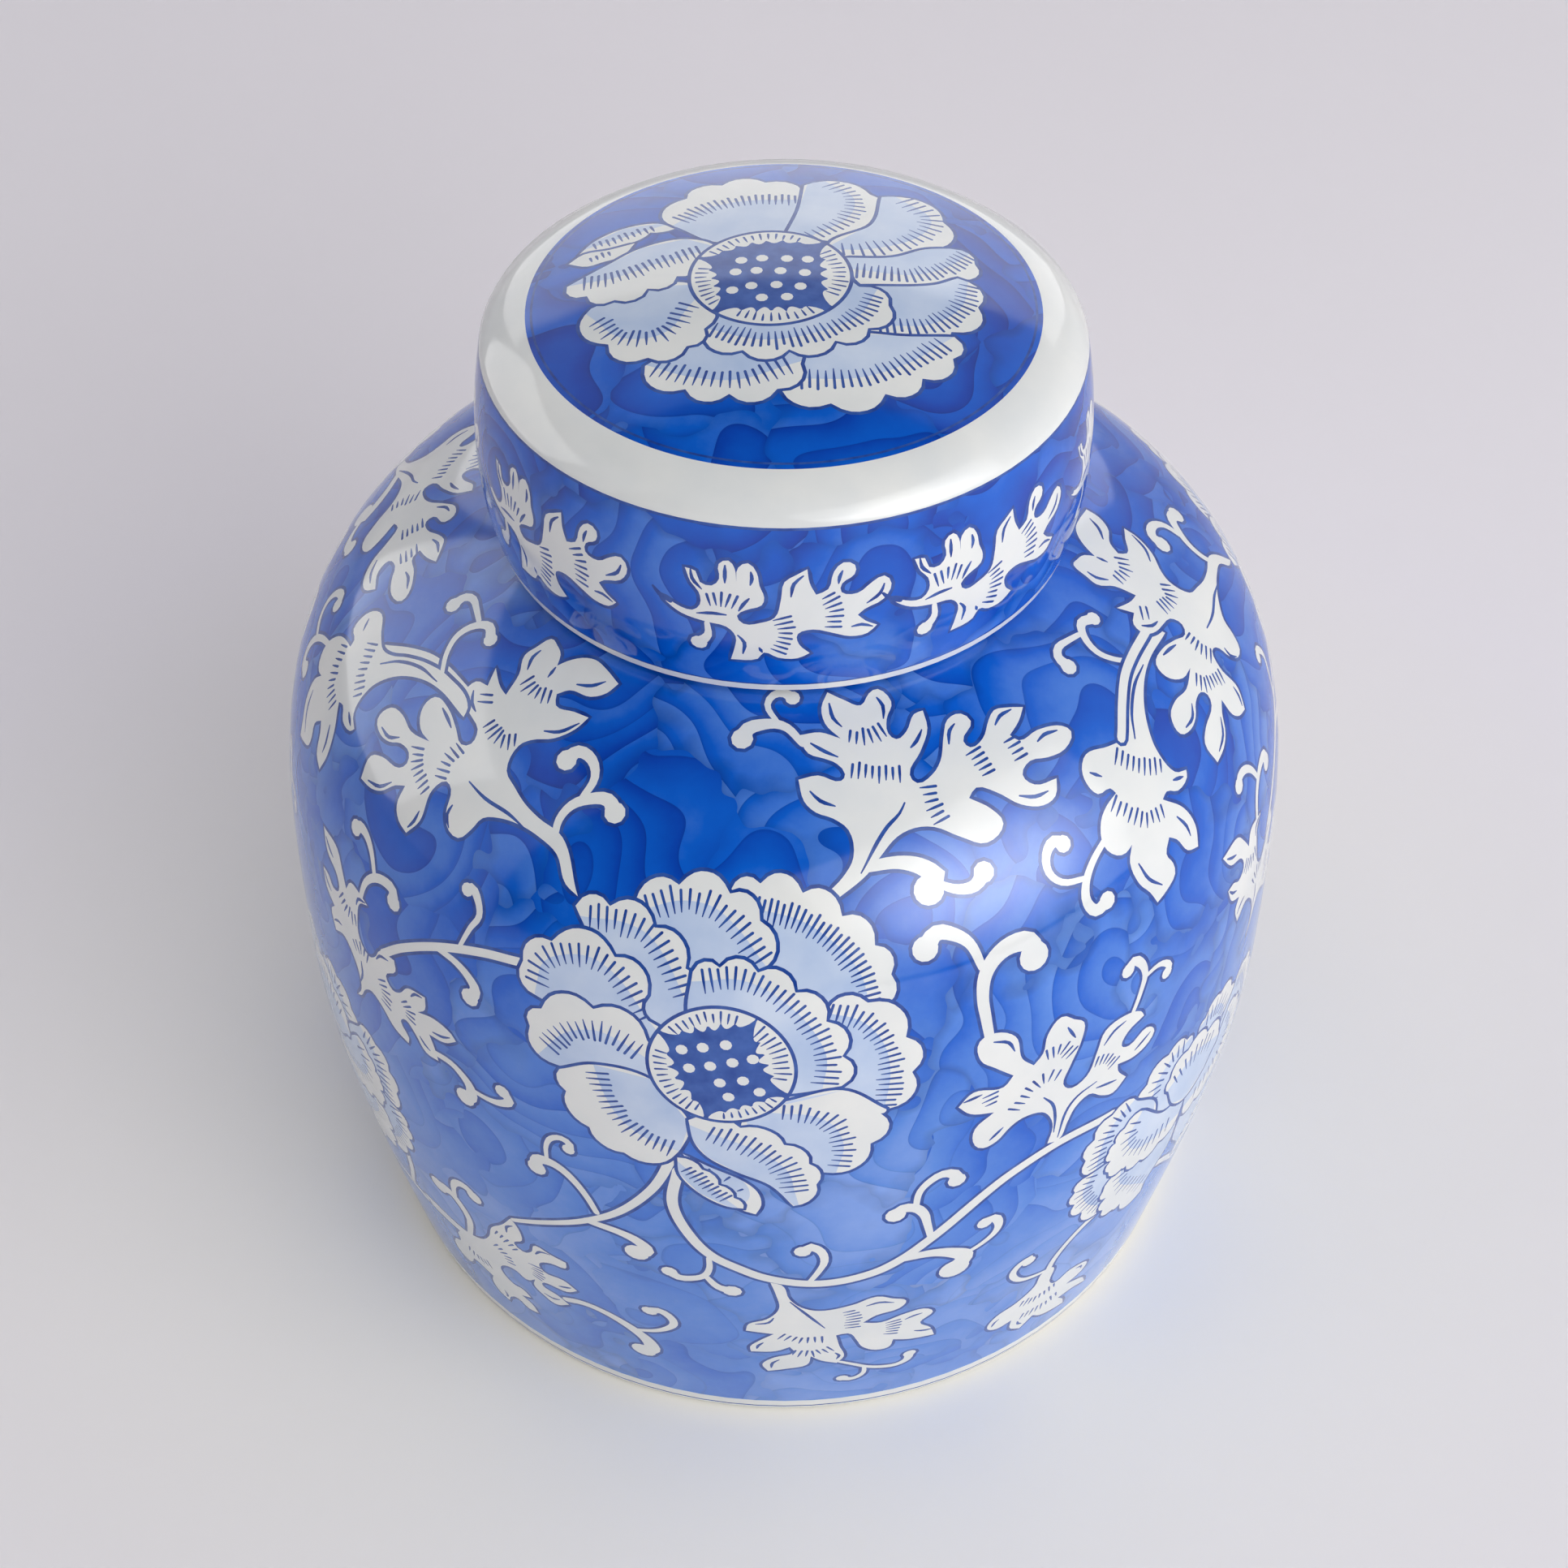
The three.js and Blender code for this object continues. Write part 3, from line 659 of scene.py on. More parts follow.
def high_peony(art):
    centre = (-6.5, 142.8)
    art.petal([(-6.3, 182), (-2.8, 183.8), (2.2, 182), (6.6, 177), (10, 170.5), (11.5, 164), (10, 157)],
              [centre], [(-3.5, 179), (2, 176.5), (6, 171), (8.2, 165), (9, 158)], 26)
    art.petal([(4.5, 157.5), (8.8, 158.5), (12.7, 149), (13.3, 139.5), (10.6, 130)],
              [(-2, 136), centre], [(4.5, 157), (8, 154.5), (10.2, 149), (11, 141), (10.4, 130.5)], 22)
    art.petal([(-17.2, 177), (-12.4, 182), (-6.3, 181.5), (-2.7, 176.5), (-2, 167)],
              [centre], [(-16, 176), (-12, 179), (-8, 178.5), (-5, 174.5), (-2.2, 168)], 17)
    art.petal([(-24, 173), (-20, 175), (-14.5, 172.8), (-10.6, 165.5), (-9.2, 158)],
              [centre, (-14, 152)], [(-22.5, 171.5), (-18, 172.5), (-15, 171), (-12.5, 166), (-10.5, 159)],
              16)
    art.petal([(-26.7, 150.5), (-28.9, 157.5), (-25.9, 164.2), (-18.5, 165), (-14.5, 158.5), (-13.2, 151.5)],
              [centre], [(-27, 153), (-26.5, 159), (-24, 162.5), (-21, 163.5), (-18, 161), (-14.2, 152.5)],
              20)
    art.petal([(-9.8, 165), (-6.9, 166.5), (-2.8, 166), (1.2, 161.8), (4.4, 155), (6, 146.2), (5.9, 138.2)],
              [(-2, 137), centre, (-10, 155)],
              [(-9, 163.2), (-5, 164.3), (-2, 162.5), (1, 158), (3, 153), (4.4, 146), (4, 138.5)], 26)
    art.petal([(-14.3, 147.5), (-20.3, 152), (-26.2, 147.8), (-27.5, 142), (-24, 134)],
              [(-16, 136), (-12, 141)],
              [(-15, 143.5), (-17.5, 146), (-20, 146.8), (-23.5, 143.5), (-25.5, 138)], 15)
    art.petal([(-24, 133), (-23.3, 127), (-20.8, 117.8), (-17, 112.5), (-11.8, 114)],
              [(-10.8, 117.5), (-9.8, 126), (-12, 133), (-14, 137.3), (-20, 137.5)],
              [(-19.9, 136), (-19, 130), (-17.5, 124), (-15, 119.5), (-11.5, 117)], 17, bulge=0.22)
    art.petal([(10.6, 130), (10, 129), (9, 120), (4, 112)], [(-3, 118), (-4, 130), (1, 135), (6, 137)],
              [(-0.5, 131), (3, 130), (5.2, 126.5), (6.2, 120), (5.6, 113)], 16)
    folded_leaflets(art)
    art.heart(centre, 14.7,
              [(-10.6, 146.6), (-8.4, 147.8), (-6, 149), (-5.3, 144.6), (-7.6, 143.2), (-4.2, 139.9),
               (-6.6, 138.9), (-2.5, 137), (-5.7, 135.1), (-9.8, 142), (-3.2, 145.8)],
              [(148, 62, 4.6, 6), (60, -24, 6.2, 5), (-30, -100, 3.4, 5), (-104, -208, 5.4, 6)])


def folded_leaflets(art):
    """The petals that hang below the high peony, seen from their sides."""
    art.folded([(-10.6, 116), (-8, 113), (-4.3, 109), (-2.8, 105.5), (-2.4, 101), (-3, 97.7), (-4.5, 99),
                (-8, 106)], [(-10.6, 116), (-8, 113), (-4.3, 109), (-3.6, 104), (-4.5, 100), (-8, 106)],
               [(-9, 112), (-6, 109), (-4, 104)], 3, 1.6)
    art.petal([(-11.2, 114.5), (-8.6, 111.6), (-6.9, 107), (-5.3, 103), (-4.3, 99.5)],
              [(-6, 99.8), (-9, 103.5), (-11, 109)],
              [(-10.4, 111.5), (-8.6, 107.5), (-6, 102)], 10, bulge=0.2, length=3.2)
    art.petal([(-9.9, 127), (-4.5, 126.2), (0, 121.3), (2.6, 115), (3.4, 108), (1, 100.8)],
              [(-1.5, 108), (-5, 112), (-8, 116), (-9.3, 120)],
              [(-8, 124), (-3, 119.5), (0.3, 113), (1.2, 105)], 17, bulge=0.22, length=5.5)


def low_peony_side(art):
    """The outer petals of one side. The other side mirrors them."""
    art.petal([(52.4, 102), (51, 104.3), (47.4, 105.7), (44, 101.5), (43, 94)], [(46.5, 84), (53, 82)],
              [(51, 103.5), (48, 103), (46.5, 100.5), (45.6, 97.5), (45.4, 92)], 9)
    art.petal([(42.5, 98.5), (38.6, 99.8), (36.3, 94.8), (35.3, 88.8), (37, 82)], [(46, 80), (46, 92)],
              [(41.5, 99), (39.5, 97), (38.3, 94), (37.4, 89), (37.2, 83)], 11)
    art.petal([(35.3, 82), (34.5, 78), (34.9, 72.5), (36.6, 66.2), (40.3, 60)], [(47, 66), (45, 80)],
              [(36.9, 81.5), (35.8, 76), (36.3, 72), (37.6, 67.5), (40.5, 62)], 12)
    art.petal([(41.8, 74), (39.5, 69.5), (40.5, 65), (40.7, 59), (43, 54.5), (44.5, 54), (49.5, 48.5)],
              [(49.4, 53), (52.5, 63), (52.5, 75)],
              [(42, 72.5), (42.3, 68), (44, 63.5), (46.5, 58.5), (48.6, 54)], 9)
    art.petal([(44.3, 92), (41, 91.3), (39.8, 88), (38.9, 86), (39.5, 82), (39.5, 77.5), (42, 74.5),
               (42.7, 74.2), (45.5, 71), (49, 71), (52.5, 74)],
              [(52.5, 82), (48, 84.5)],
              [(43.2, 91), (42, 87), (42.3, 82.5), (44, 78.5), (47, 76), (50.5, 75.5)], 12)


def low_peony(art, turn):
    centre = 53
    art.place(turn=2 * centre + turn, flip=True)
    low_peony_side(art)
    art.place(turn=turn)
    low_peony_side(art)
    art.petal([(48.5, 91), (48.6, 95.5), (51.7, 99.5), (56.2, 97), (59.8, 91), (58.6, 86)],
              [(56.5, 82), (53, 80), (50, 84)],
              [(49.3, 92.5), (52, 94.7), (55, 94.2), (58, 91)], 9)


def body_art(surface):
    art = Painting(surface)
    for turn in THIRDS:
        art.place(turn=turn)
        art.new_group()
        scrolls(art)
    for turn in THIRDS:
        art.place(turn=turn)
        high_peony(art)
        low_peony(art, turn)
    art.place()
    art.new_group()
    art.band(-PAST_END, FOOT_WHITE, WHITE, 1)
    art.band(*FOOT_LINE, LINE, 2)
    return art


# ---------------------------------------------------------------- the pattern of the lid

SPRAY = [
    (-22, 24.5), (-20, 23.5), (-18, 22.5), (-16, 22.3), (-14.6, 24), (-14.8, 27), (-16.2, 29),
    (-17.3, 32.2), (-15.4, 31.8), (-14.6, 29.4), (-12.5, 29), (-11.2, 30.8), (-11.3, 34.2), (-9.6, 35.2),
    (-8.5, 33.5), (-8.2, 30.5), (-7.9, 33.8), (-6.2, 35), (-4.7, 33), (-4.2, 30), (-3.4, 27.3), (-3.8, 25.4),
    (-6.5, 24), (-8.1, 22.4), (-7, 20.5), (-4, 21), (-1.6, 22.4), (-0.5, 27), (0.1, 31), (2, 32.5), (4, 33.8),
    (4.4, 30.6), (5.5, 27.8), (7.6, 28.9), (8.6, 32.8), (10.3, 34.7), (12.3, 33.8), (12.2, 31.7),
    (10, 29.9), (9.9, 27.9), (12.7, 27.2), (15.4, 29.3), (17.5, 30.2), (18.8, 28), (17.4, 24.7), (14, 23),
    (12.8, 21.8), (14.2, 20), (16.3, 18.4), (14.6, 16.6), (11.5, 16.5), (8.5, 17.9), (5, 19.2), (2.4, 18.2),
    (2.6, 15.4), (4.5, 12.8), (2.4, 11.4), (-1, 11.6), (-3.5, 13), (-4.6, 11.1), (-9.4, 10.3), (-8.7, 13.5),
    (-8.4, 17), (-10, 19.3), (-13.5, 19.9), (-18, 21), (-20.5, 22.8),
]
SPRAY_VEINS = [
    [(-16.3, 32), (-16, 30), (-14.3, 27.8)], [(-10.2, 34), (-10.2, 30)],
    [(-5.7, 33), (-5.5, 31.5), (-5.8, 30)],
    [(-6, 26.8), (-7, 25.3), (-7.8, 23.6)], [(-10, 22.3), (-12.5, 22.3), (-15.2, 21.7)],
    [(3.3, 32.3), (1.7, 30.5), (1.2, 27.5)], [(10.1, 32.8), (9.6, 31.5), (9.4, 30)],
    [(17.5, 28.3), (16.8, 26.3), (14.4, 24.4)], [(11.8, 19), (13.5, 19.2), (15.5, 18.2)],
    [(-8, 17.3), (-6.9, 15.5), (-7.2, 12.3)], [(-4.3, 14.3), (-3.8, 13)],
]
SPRAY_HATCHES = [
    ([(-13.7, 25.5), (-10.8, 26.2), (-8, 25.2)], 6), ([(7.2, 27.8), (8.8, 24), (8.5, 18.8)], 8),
    ([(-0.7, 22.8), (0.2, 19), (-0.6, 15), (-1.5, 13)], 8),
]
SPRAY_TURNS = (-47, 0, 40.5, 85, 130, 175.5, -139, -94)



def skirt_art(surface):
    """The lid's side: eight sprays of leaves between a white edge and the white rim."""
    art = Painting(surface)
    for turn in SPRAY_TURNS:
        art.place(turn=turn)
        art.new_group()
        art.tendril([(-13.4, 19.6), (-13.3, 16.5), (-15, 14)], 1.7)
        art.stroke(smooth([(-23.2, 26), (-22, 24.5), (-20, 23.3)], 1.1), (0.6, 1.1, 0.9), LINE, 2)
        art.leaf(SPRAY, SPRAY_VEINS, SPRAY_HATCHES)
    art.place()
    art.new_group()
    art.band(-PAST_END, SKIRT_WHITE, WHITE, 1)
    art.band(SKIRT_WHITE, SKIRT_LINE, LINE, 1)
    art.band(RIM_START - RIM_LINE, RIM_START, LINE, 1)
    art.band(RIM_START, surface.length + PAST_END, WHITE, 1)
    return art


def dome_art(surface):
    """The lid's top: one peony on a blue disc. Places are millimetres to the right and to the back."""
    art = Painting(surface)
    centre = (-2.7, 1.5)
    art.disc((0, 0), surface.rim + PAST_END, WHITE, 0)
    art.disc((0, 0), DISC_RADIUS, GROUND, 1)
    art.disc((0, 0), DISC_RADIUS - DISC_LINE[0], LINE, 2)
    art.disc((0, 0), DISC_RADIUS - DISC_LINE[1], GROUND, 3)
    art.petal([(-22.5, 22), (-20.3, 34.6), (-13, 40.2), (-4, 41), (3.7, 35)], [(3, 27), (0, 17), (-13, 14)],
              [(-21.5, 24), (-17, 28.5), (-9, 31.5), (3, 32)], 20, length=4.2)
    art.petal([(4.3, 39.5), (18, 36.3), (17.8, 23.8), (7.5, 14.5)], [(0, 15), (3, 27)],
              [(9.5, 41), (14.5, 34), (13, 24), (5, 15.5)], 18, length=4)
    art.petal([(20.5, 35.5), (33, 26.5), (28.5, 14), (21, 9.8), (12, 8.3)], [(9, 12), (18, 22)],
              [(24.5, 35), (30.5, 27), (27, 18), (17, 11.8), (11, 11)], 20)
    art.petal([(34, 15.5), (38.8, 10.8), (35.5, 4.2), (29.5, 0.2), (22, -0.8), (14.3, 0.5)],
              [(12, 8), (22, 9.5), (29, 14)], [(37.5, 14), (33, 8), (26, 3.7), (14, 4)], 20)
    art.petal([(35, 4.5), (38.7, -4.5), (33, -13.6), (25.5, -17.4), (17, -16.5)], [(14, -2), (30, 1)],
              [(37, 3), (35.5, -5), (29, -12), (18, -14)], 20)
    art.petal([(33.5, -15), (33, -21.5), (26.8, -28), (19.5, -33), (9, -36.2), (-0.8, -31)],
              [(3, -22), (12, -17), (24, -16.5)], [(31.5, -17), (25, -23.5), (15, -29), (1, -30)], 22)
    art.petal([(-27, -24.5), (-19, -31.8), (-10.5, -33.7), (-1.3, -32.7), (3.2, -26), (0, -21)],
              [(-8, -20), (-16, -17)], [(-25.5, -25), (-19, -28.3), (-9, -30), (1.5, -26)], 17)
    art.petal([(15, -2), (20.7, -7.5), (16.5, -15), (10, -19.2), (1, -22), (-8, -22), (-15.5, -17)],
              [(-14, -6), centre, (10, 3)], [(18, -4), (15, -11), (5, -17.5), (-5, -19), (-14.5, -15.5)], 28)
    art.petal([(-38.5, -5), (-34.5, -17), (-26.5, -22.3), (-19, -20), (-15.7, -15.3), (-17, -6)],
              [(-18, -1), (-28, 0)], [(-37.5, -9), (-32, -15.5), (-24, -15.8), (-18.3, -7)], 17, length=4)
    art.petal([(-42, 15.5), (-37.5, 16.2), (-32, 17), (-27.5, 20.5), (-22.5, 21)],
              [(-26, 24), (-33, 23.7), (-39, 20)], [(-39.5, 17.7), (-33, 19.8), (-26.5, 22.3)], 12,
              bulge=0.12, length=2.6)
    art.folded([(-44, 12.5), (-41, 15.3), (-36, 15.5), (-30.5, 16.8), (-33, 12.3), (-37, 11), (-40, 10.3)],
               [], [(-40, 12.5), (-35, 14)], 5, 1.8)
    art.petal([(-43.8, 4), (-39.5, -0.5), (-33.8, -3.3), (-27.3, -0.8), (-21.5, 2.5), (-17.5, 5.5)],
              [(-14.5, 9), (-14, 12.5), (-20, 16.3), (-29, 14.5), (-36, 9.5)],
              [(-41, 4.2), (-34, 4.5), (-25, 8), (-16.5, 11)], 18, length=4.2)
    art.heart(centre, 15.9,
              [(-9.7, 2.7), (-5.5, 3), (-0.7, 2.8), (4.2, 2.2), (4.8, 7), (0.6, 7.2), (-4.4, 7.4),
               (-8.6, 6.8), (-10.3, -3.5), (-6.5, -2.2), (-1.5, -2), (3.3, -2.5), (-4.4, -6.2), (0.6, -6)],
              [(152, 50, 4, 7), (44, -40, 5.4, 5), (-48, -130, 4.6, 6), (-136, -204, 5, 5)])
    return art


# ---------------------------------------------------------------- from painting to mesh

def inside(points, outline):
    """Which points lie inside an outline, by how often it winds round them."""
    a = outline
    b = np.roll(outline, -1, 0)
    side = ((b[:, 0] - a[:, 0]) * (points[:, 1, None] - a[:, 1])
            - (points[:, 0, None] - a[:, 0]) * (b[:, 1] - a[:, 1]))
    below_a = a[:, 1] <= points[:, 1, None]
    below_b = b[:, 1] <= points[:, 1, None]
    return (below_a & ~below_b & (side > 0)).sum(1) != (~below_a & below_b & (side < 0)).sum(1)


def shapes_in_view(painting, wraps):
    """All shapes, with those that cross the seam repeated on its other side."""
    shapes = []
    for outline, paint, level, within in painting.shapes:
        for shift in ((0, 360, -360) if wraps else (0,)):
            x = outline[:, 0] + shift
            if wraps and (x.max() < -180 or x.min() > 180):
                continue
            move = np.array([shift, 0])
            shapes.append((outline + move, paint, level, None if within is None else within + move))
    return shapes


def divided(painting, border, grid, wraps):
    """Divides a painted surface into triangles. Returns places, triangles and the paint of each."""
    shapes = shapes_in_view(painting, wraps)
    loops = [border] + [s[0] for s in shapes]
    ends = np.cumsum([len(loop) for loop in loops])
    edges = []
    for loop, end in zip(loops, ends):
        first = end - len(loop)
        edges += [(first + i, first + (i + 1) % len(loop)) for i in range(len(loop))]
    places = np.vstack(loops + [grid])
    found = delaunay_2d_cdt([Vector(p) for p in places], edges, [], 0, 1e-4, False)
    at = np.array([tuple(v) for v in found[0]])
    tris = np.array(found[2])
    middle = at[tris].mean(1)
    kept = inside(middle, border)
    tris, middle = tris[kept], middle[kept]
    paint = np.full(len(tris), GROUND)
    top = np.full(len(tris), -1)
    order = np.argsort(middle[:, 0])
    ordered = middle[order, 0]
    for outline, colour, level, within in shapes:
        near = order[np.searchsorted(ordered, outline[:, 0].min()):
                     np.searchsorted(ordered, outline[:, 0].max(), "right")]
        y = middle[near, 1]
        near = near[(y >= outline[:, 1].min()) & (y <= outline[:, 1].max()) & (top[near] <= level)]
        if len(near) == 0:
            continue
        hit = inside(middle[near], outline)
        if within is not None:
            hit &= inside(middle[near], within)
        paint[near[hit]] = colour
        top[near[hit]] = level
    return at, tris, paint


def linked(name, data):
    """A new object in the scene."""
    thing = bpy.data.objects.new(name, data)
    bpy.context.scene.collection.objects.link(thing)
    return thing


RING = np.arange(-180, 180 + COLUMN / 2, COLUMN)


class Shell:
    """Collects the parts of one closed mesh: places, directions, faces, paints and places on the map."""

    def __init__(self):
        self.points, self.normals, self.faces, self.paints, self.maps = [], [], [], [], []
        self.total = 0

    def add(self, points, normals, tris, paints, uv):
        self.points.append(points)
        self.normals.append(normals)
        self.faces.append(tris + self.total)
        self.paints.append(paints)
        self.maps.append(uv)
        self.total += len(points)

    def painted(self, painting, surface, bands):
        """A turned surface with its painting. bands gives each paint its strip of the map."""
        low, high = surface.along[0], surface.length
        rows = np.linspace(low, high, round((high - low) / GRID_STEP) + 1)
        x, y = np.meshgrid(RING[1:-1], rows[1:-1])
        up = np.c_[np.full(len(rows), 180.0), rows]
        border = np.vstack([np.c_[RING, np.full(len(RING), low)][:-1], up[:-1],
                            np.c_[RING[::-1], np.full(len(RING), high)][:-1],
                            (up * (-1, 1))[::-1][:-1]])
        at, tris, paint = divided(painting, border, np.c_[x.ravel(), y.ravel()], wraps=True)
        share = (at - (-180, low)) / (360, high - low)
        self.add(surface.points(at), surface.normals(at), tris, paint,
                 on_map(share[tris], paint, bands))

    def domed(self, painting, surface, squares):
        """A dome with its painting. squares gives each paint its part of the map."""
        turn = np.radians(RING[:-1])
        border = surface.rim * np.c_[np.sin(turn), -np.cos(turn)]
        grid = [[0.0, 0.0]]
        for radius in np.arange(GRID_STEP, surface.rim - 2, GRID_STEP):
            around = np.linspace(0, 2 * math.pi, math.ceil(2 * math.pi * radius / GRID_STEP), endpoint=False)
            grid += list(radius * np.c_[np.cos(around), np.sin(around)])
        at, tris, paint = divided(painting, border, np.array(grid), wraps=False)
        share = at / (2 * surface.rim) + 0.5
        self.add(surface.points(at), surface.normals(at), tris, paint,
                 on_map(share[tris], paint, squares))

    def plain(self, section, paint, box):
        """A turned strip in one paint, outward on the left of its section."""
        section = np.array(section, float)
        strip = Turned(section)
        x, y = np.meshgrid(RING, strip.along)
        at = np.c_[x.ravel(), y.ravel()]
        columns, rows = len(RING), len(section)
        i, j = np.meshgrid(np.arange(rows - 1), np.arange(columns - 1), indexing="ij")
        a = (i * columns + j).ravel()
        tris = np.vstack([np.c_[a, a + 1, a + columns + 1], np.c_[a, a + columns + 1, a + columns]])
        share = (at - (-180, 0)) / (360, strip.length)
        paints = np.full(len(tris), paint)
        self.add(strip.points(at), strip.normals(at), tris, paints, on_map(share[tris], paints, {paint: box}))

    def mesh(self, name, materials):
        """Welds the parts and makes the piece of them."""
        points = np.vstack(self.points)
        normals = np.vstack(self.normals)
        faces = np.vstack(self.faces)
        paints = np.concatenate(self.paints)
        maps = np.vstack(self.maps)
        owner = welded(points)
        joined = owner[faces]
        whole = ((joined[:, 0] != joined[:, 1]) & (joined[:, 1] != joined[:, 2])
                 & (joined[:, 2] != joined[:, 0]))
        used, renumbered = np.unique(joined[whole], return_inverse=True)
        mesh = bpy.data.meshes.new(name)
        mesh.from_pydata(points[used].tolist(), [], renumbered.reshape(-1, 3).tolist())
        for material in materials:
            mesh.materials.append(material)
        mesh.polygons.foreach_set("material_index", paints[whole].astype(np.int32))
        mesh.polygons.foreach_set("use_smooth", np.ones(whole.sum(), bool))
        layer = mesh.uv_layers.new(name="OFBake")
        layer.uv.foreach_set("vector", maps[whole].astype(np.float32).ravel())
        mesh.update()
        mesh.normals_split_custom_set(normals[faces[whole]].reshape(-1, 3).tolist())
        return linked(name, mesh)


def welded(points, reach=4e-6):
    """For each point, the first point at the same place."""
    owner = np.arange(len(points))
    for shift in (0, 0.5):
        cell = np.floor(points / reach + shift).astype(np.int64)
        _, first, same = np.unique(cell, axis=0, return_index=True, return_inverse=True)
        owner = np.minimum(owner, first[same.ravel()])
    for _ in range(3):
        owner = owner[owner]
    return owner


def on_map(share, paints, boxes):
    """Places on the map: each paint has a box (left, bottom, right, top) of its own."""
    uv = np.zeros_like(share)
    for paint, (left, bottom, right, top) in boxes.items():
        here = paints == paint
        uv[here] = share[here] * (right - left, top - bottom) + (left, bottom)
    return uv


# The map, as shares of its width and height: left, bottom, right, top. The painted surface takes strips from
# the bottom up to a height, and the plain parts take rows above them.
MAP_SHARES = {GROUND: 0.72, WHITE: 0.1, WASH: 0.08, LINE: 0.06, HEART: 0.04}
MAP_GAP = 0.004
JAR_PAINTING_TOP = 0.84
JAR_INSIDE = (0, 0.86, 1, 0.93)
JAR_UNDERSIDE = (0, 0.94, 1, 0.96)
LID_PAINTING_TOP = 0.38
LID_SQUARES = {GROUND: (0.004, 0.4, 0.5, 0.896), WHITE: (0.51, 0.4, 0.75, 0.64),
               WASH: (0.76, 0.4, 0.996, 0.64), LINE: (0.51, 0.66, 0.75, 0.896),
               HEART: (0.76, 0.66, 0.996, 0.896)}
LID_INSIDE = (0, 0.91, 1, 0.96)
INNER_CORNER = (0, 0.965, 1, 0.97)
BARE_RING = (0, 0.975, 1, 0.985)
OUTER_CORNER = (0, 0.99, 1, 1)


def strips(height):
    """A box for each paint, one above another across the whole map, up to a height."""
    boxes = {}
    low = 0.0
    for paint, share in MAP_SHARES.items():
        top = low + height * share
        boxes[paint] = (MAP_GAP, low + MAP_GAP, 1 - MAP_GAP, top - MAP_GAP)
        low = top
    return boxes


# ---------------------------------------------------------------- materials

# The dabs of the ground, in metres.
DAB_FIELD = 0.03  # across a stretch that was painted in one go, in one direction
DAB_STEP = 0.0074  # from one dab to the next
FIELD_SWAY = 0.02  # how far the borders of the fields wander
POOL_WIDTH = 0.003  # of the darker paint along a field's border
CENTRE_REACH = 1.3  # how far the centre of a field's arcs may lie from its middle, in fields
UNEVEN = 2.8  # how far the arcs wander, in dabs
DEEP_ABOVE, PALE_BELOW = 0.215, 0.07  # heights between which the ground grows paler

GLAZE_ROUGHNESS = 0.09
GLAZE_IOR = 1.52


class Nodes:
    """A material's node tree, with short ways to add to it."""

    def __init__(self, name):
        self.material = bpy.data.materials.new(name)
        self.material.use_nodes = True
        self.tree = self.material.node_tree
        self.shader = self.tree.nodes["Principled BSDF"]
        self.place = self.add("ShaderNodeTexCoord").outputs["Object"]

    def add(self, kind, settings=None, **links):
        node = self.tree.nodes.new(kind)
        for key, value in (settings or {}).items():
            setattr(node, key, value)
        for key, value in links.items():
            self.put(node.inputs[key.replace("_", " ")], value)
        return node

    def put(self, socket, value):
        if isinstance(value, bpy.types.NodeSocket):
            self.tree.links.new(value, socket)
        else:
            socket.default_value = value

    def maths(self, operation, a, b=0.0, c=0.0):
        node = self.add("ShaderNodeMath", {"operation": operation})
        for socket, value in zip(node.inputs, (a, b, c)):
            self.put(socket, value)
        return node.outputs[0]

    def vector(self, operation, a, b=(0, 0, 0), scale=1.0):
        node = self.add("ShaderNodeVectorMath", {"operation": operation})
        self.put(node.inputs[0], a)
        if operation == "SCALE":
            self.put(node.inputs["Scale"], scale)
        else:
            self.put(node.inputs[1], b)
        return node.outputs["Value" if operation == "LENGTH" else "Vector"]

    def noise(self, scale, detail, roughness=0.5, output="Fac"):
        node = self.add("ShaderNodeTexNoise", Vector=self.place, Scale=scale, Detail=detail,
                        Roughness=roughness)
        return node.outputs[output]

    def between(self, value, low, high, at_low=0.0, at_high=1.0):
        """A value's share of the way from low to high, kept between 0 and 1, laid from at_low to at_high."""
        return self.add("ShaderNodeMapRange", Value=value, From_Min=low, From_Max=high, To_Min=at_low,
                        To_Max=at_high).outputs[0]

    def ramp(self, value, stops):
        """stops are (position, colour)."""
        node = self.add("ShaderNodeValToRGB", Fac=value)
        for _ in stops[2:]:
            node.color_ramp.elements.new(0.5)
        for element, (position, colour) in zip(node.color_ramp.elements, stops):
            element.position = position
            element.color = colour
        return node.outputs["Color"]

    def multiply(self, share, a, b):
        """Colour a, darkened by b to a share."""
        node = self.add("ShaderNodeMix", {"data_type": "RGBA", "blend_type": "MULTIPLY"})
        self.put(node.inputs[0], share)
        self.put(node.inputs[6], a)
        self.put(node.inputs[7], b)
        return node.outputs[2]


def rgb(r, g, b):
    """A colour given in 8-bit steps, as the linear light that the shader wants."""
    linear = (c / 255 / 12.92 if c <= 10 else ((c / 255 + 0.055) / 1.055) ** 2.4 for c in (r, g, b))
    return (*linear, 1)


def grey(value):
    return (value, value, value, 1)


def glazed(nodes, colour):
    """A glassy glaze over a colour, with the faint waves of a fired surface."""
    nodes.put(nodes.shader.inputs["Base Color"], colour)
    nodes.shader.inputs["Roughness"].default_value = GLAZE_ROUGHNESS
    nodes.shader.inputs["IOR"].default_value = GLAZE_IOR
    bump = nodes.add("ShaderNodeBump", Height=nodes.noise(38, 2.0), Strength=0.1, Distance=0.0012)
    nodes.put(nodes.shader.inputs["Normal"], bump.outputs["Normal"])
    return nodes.material


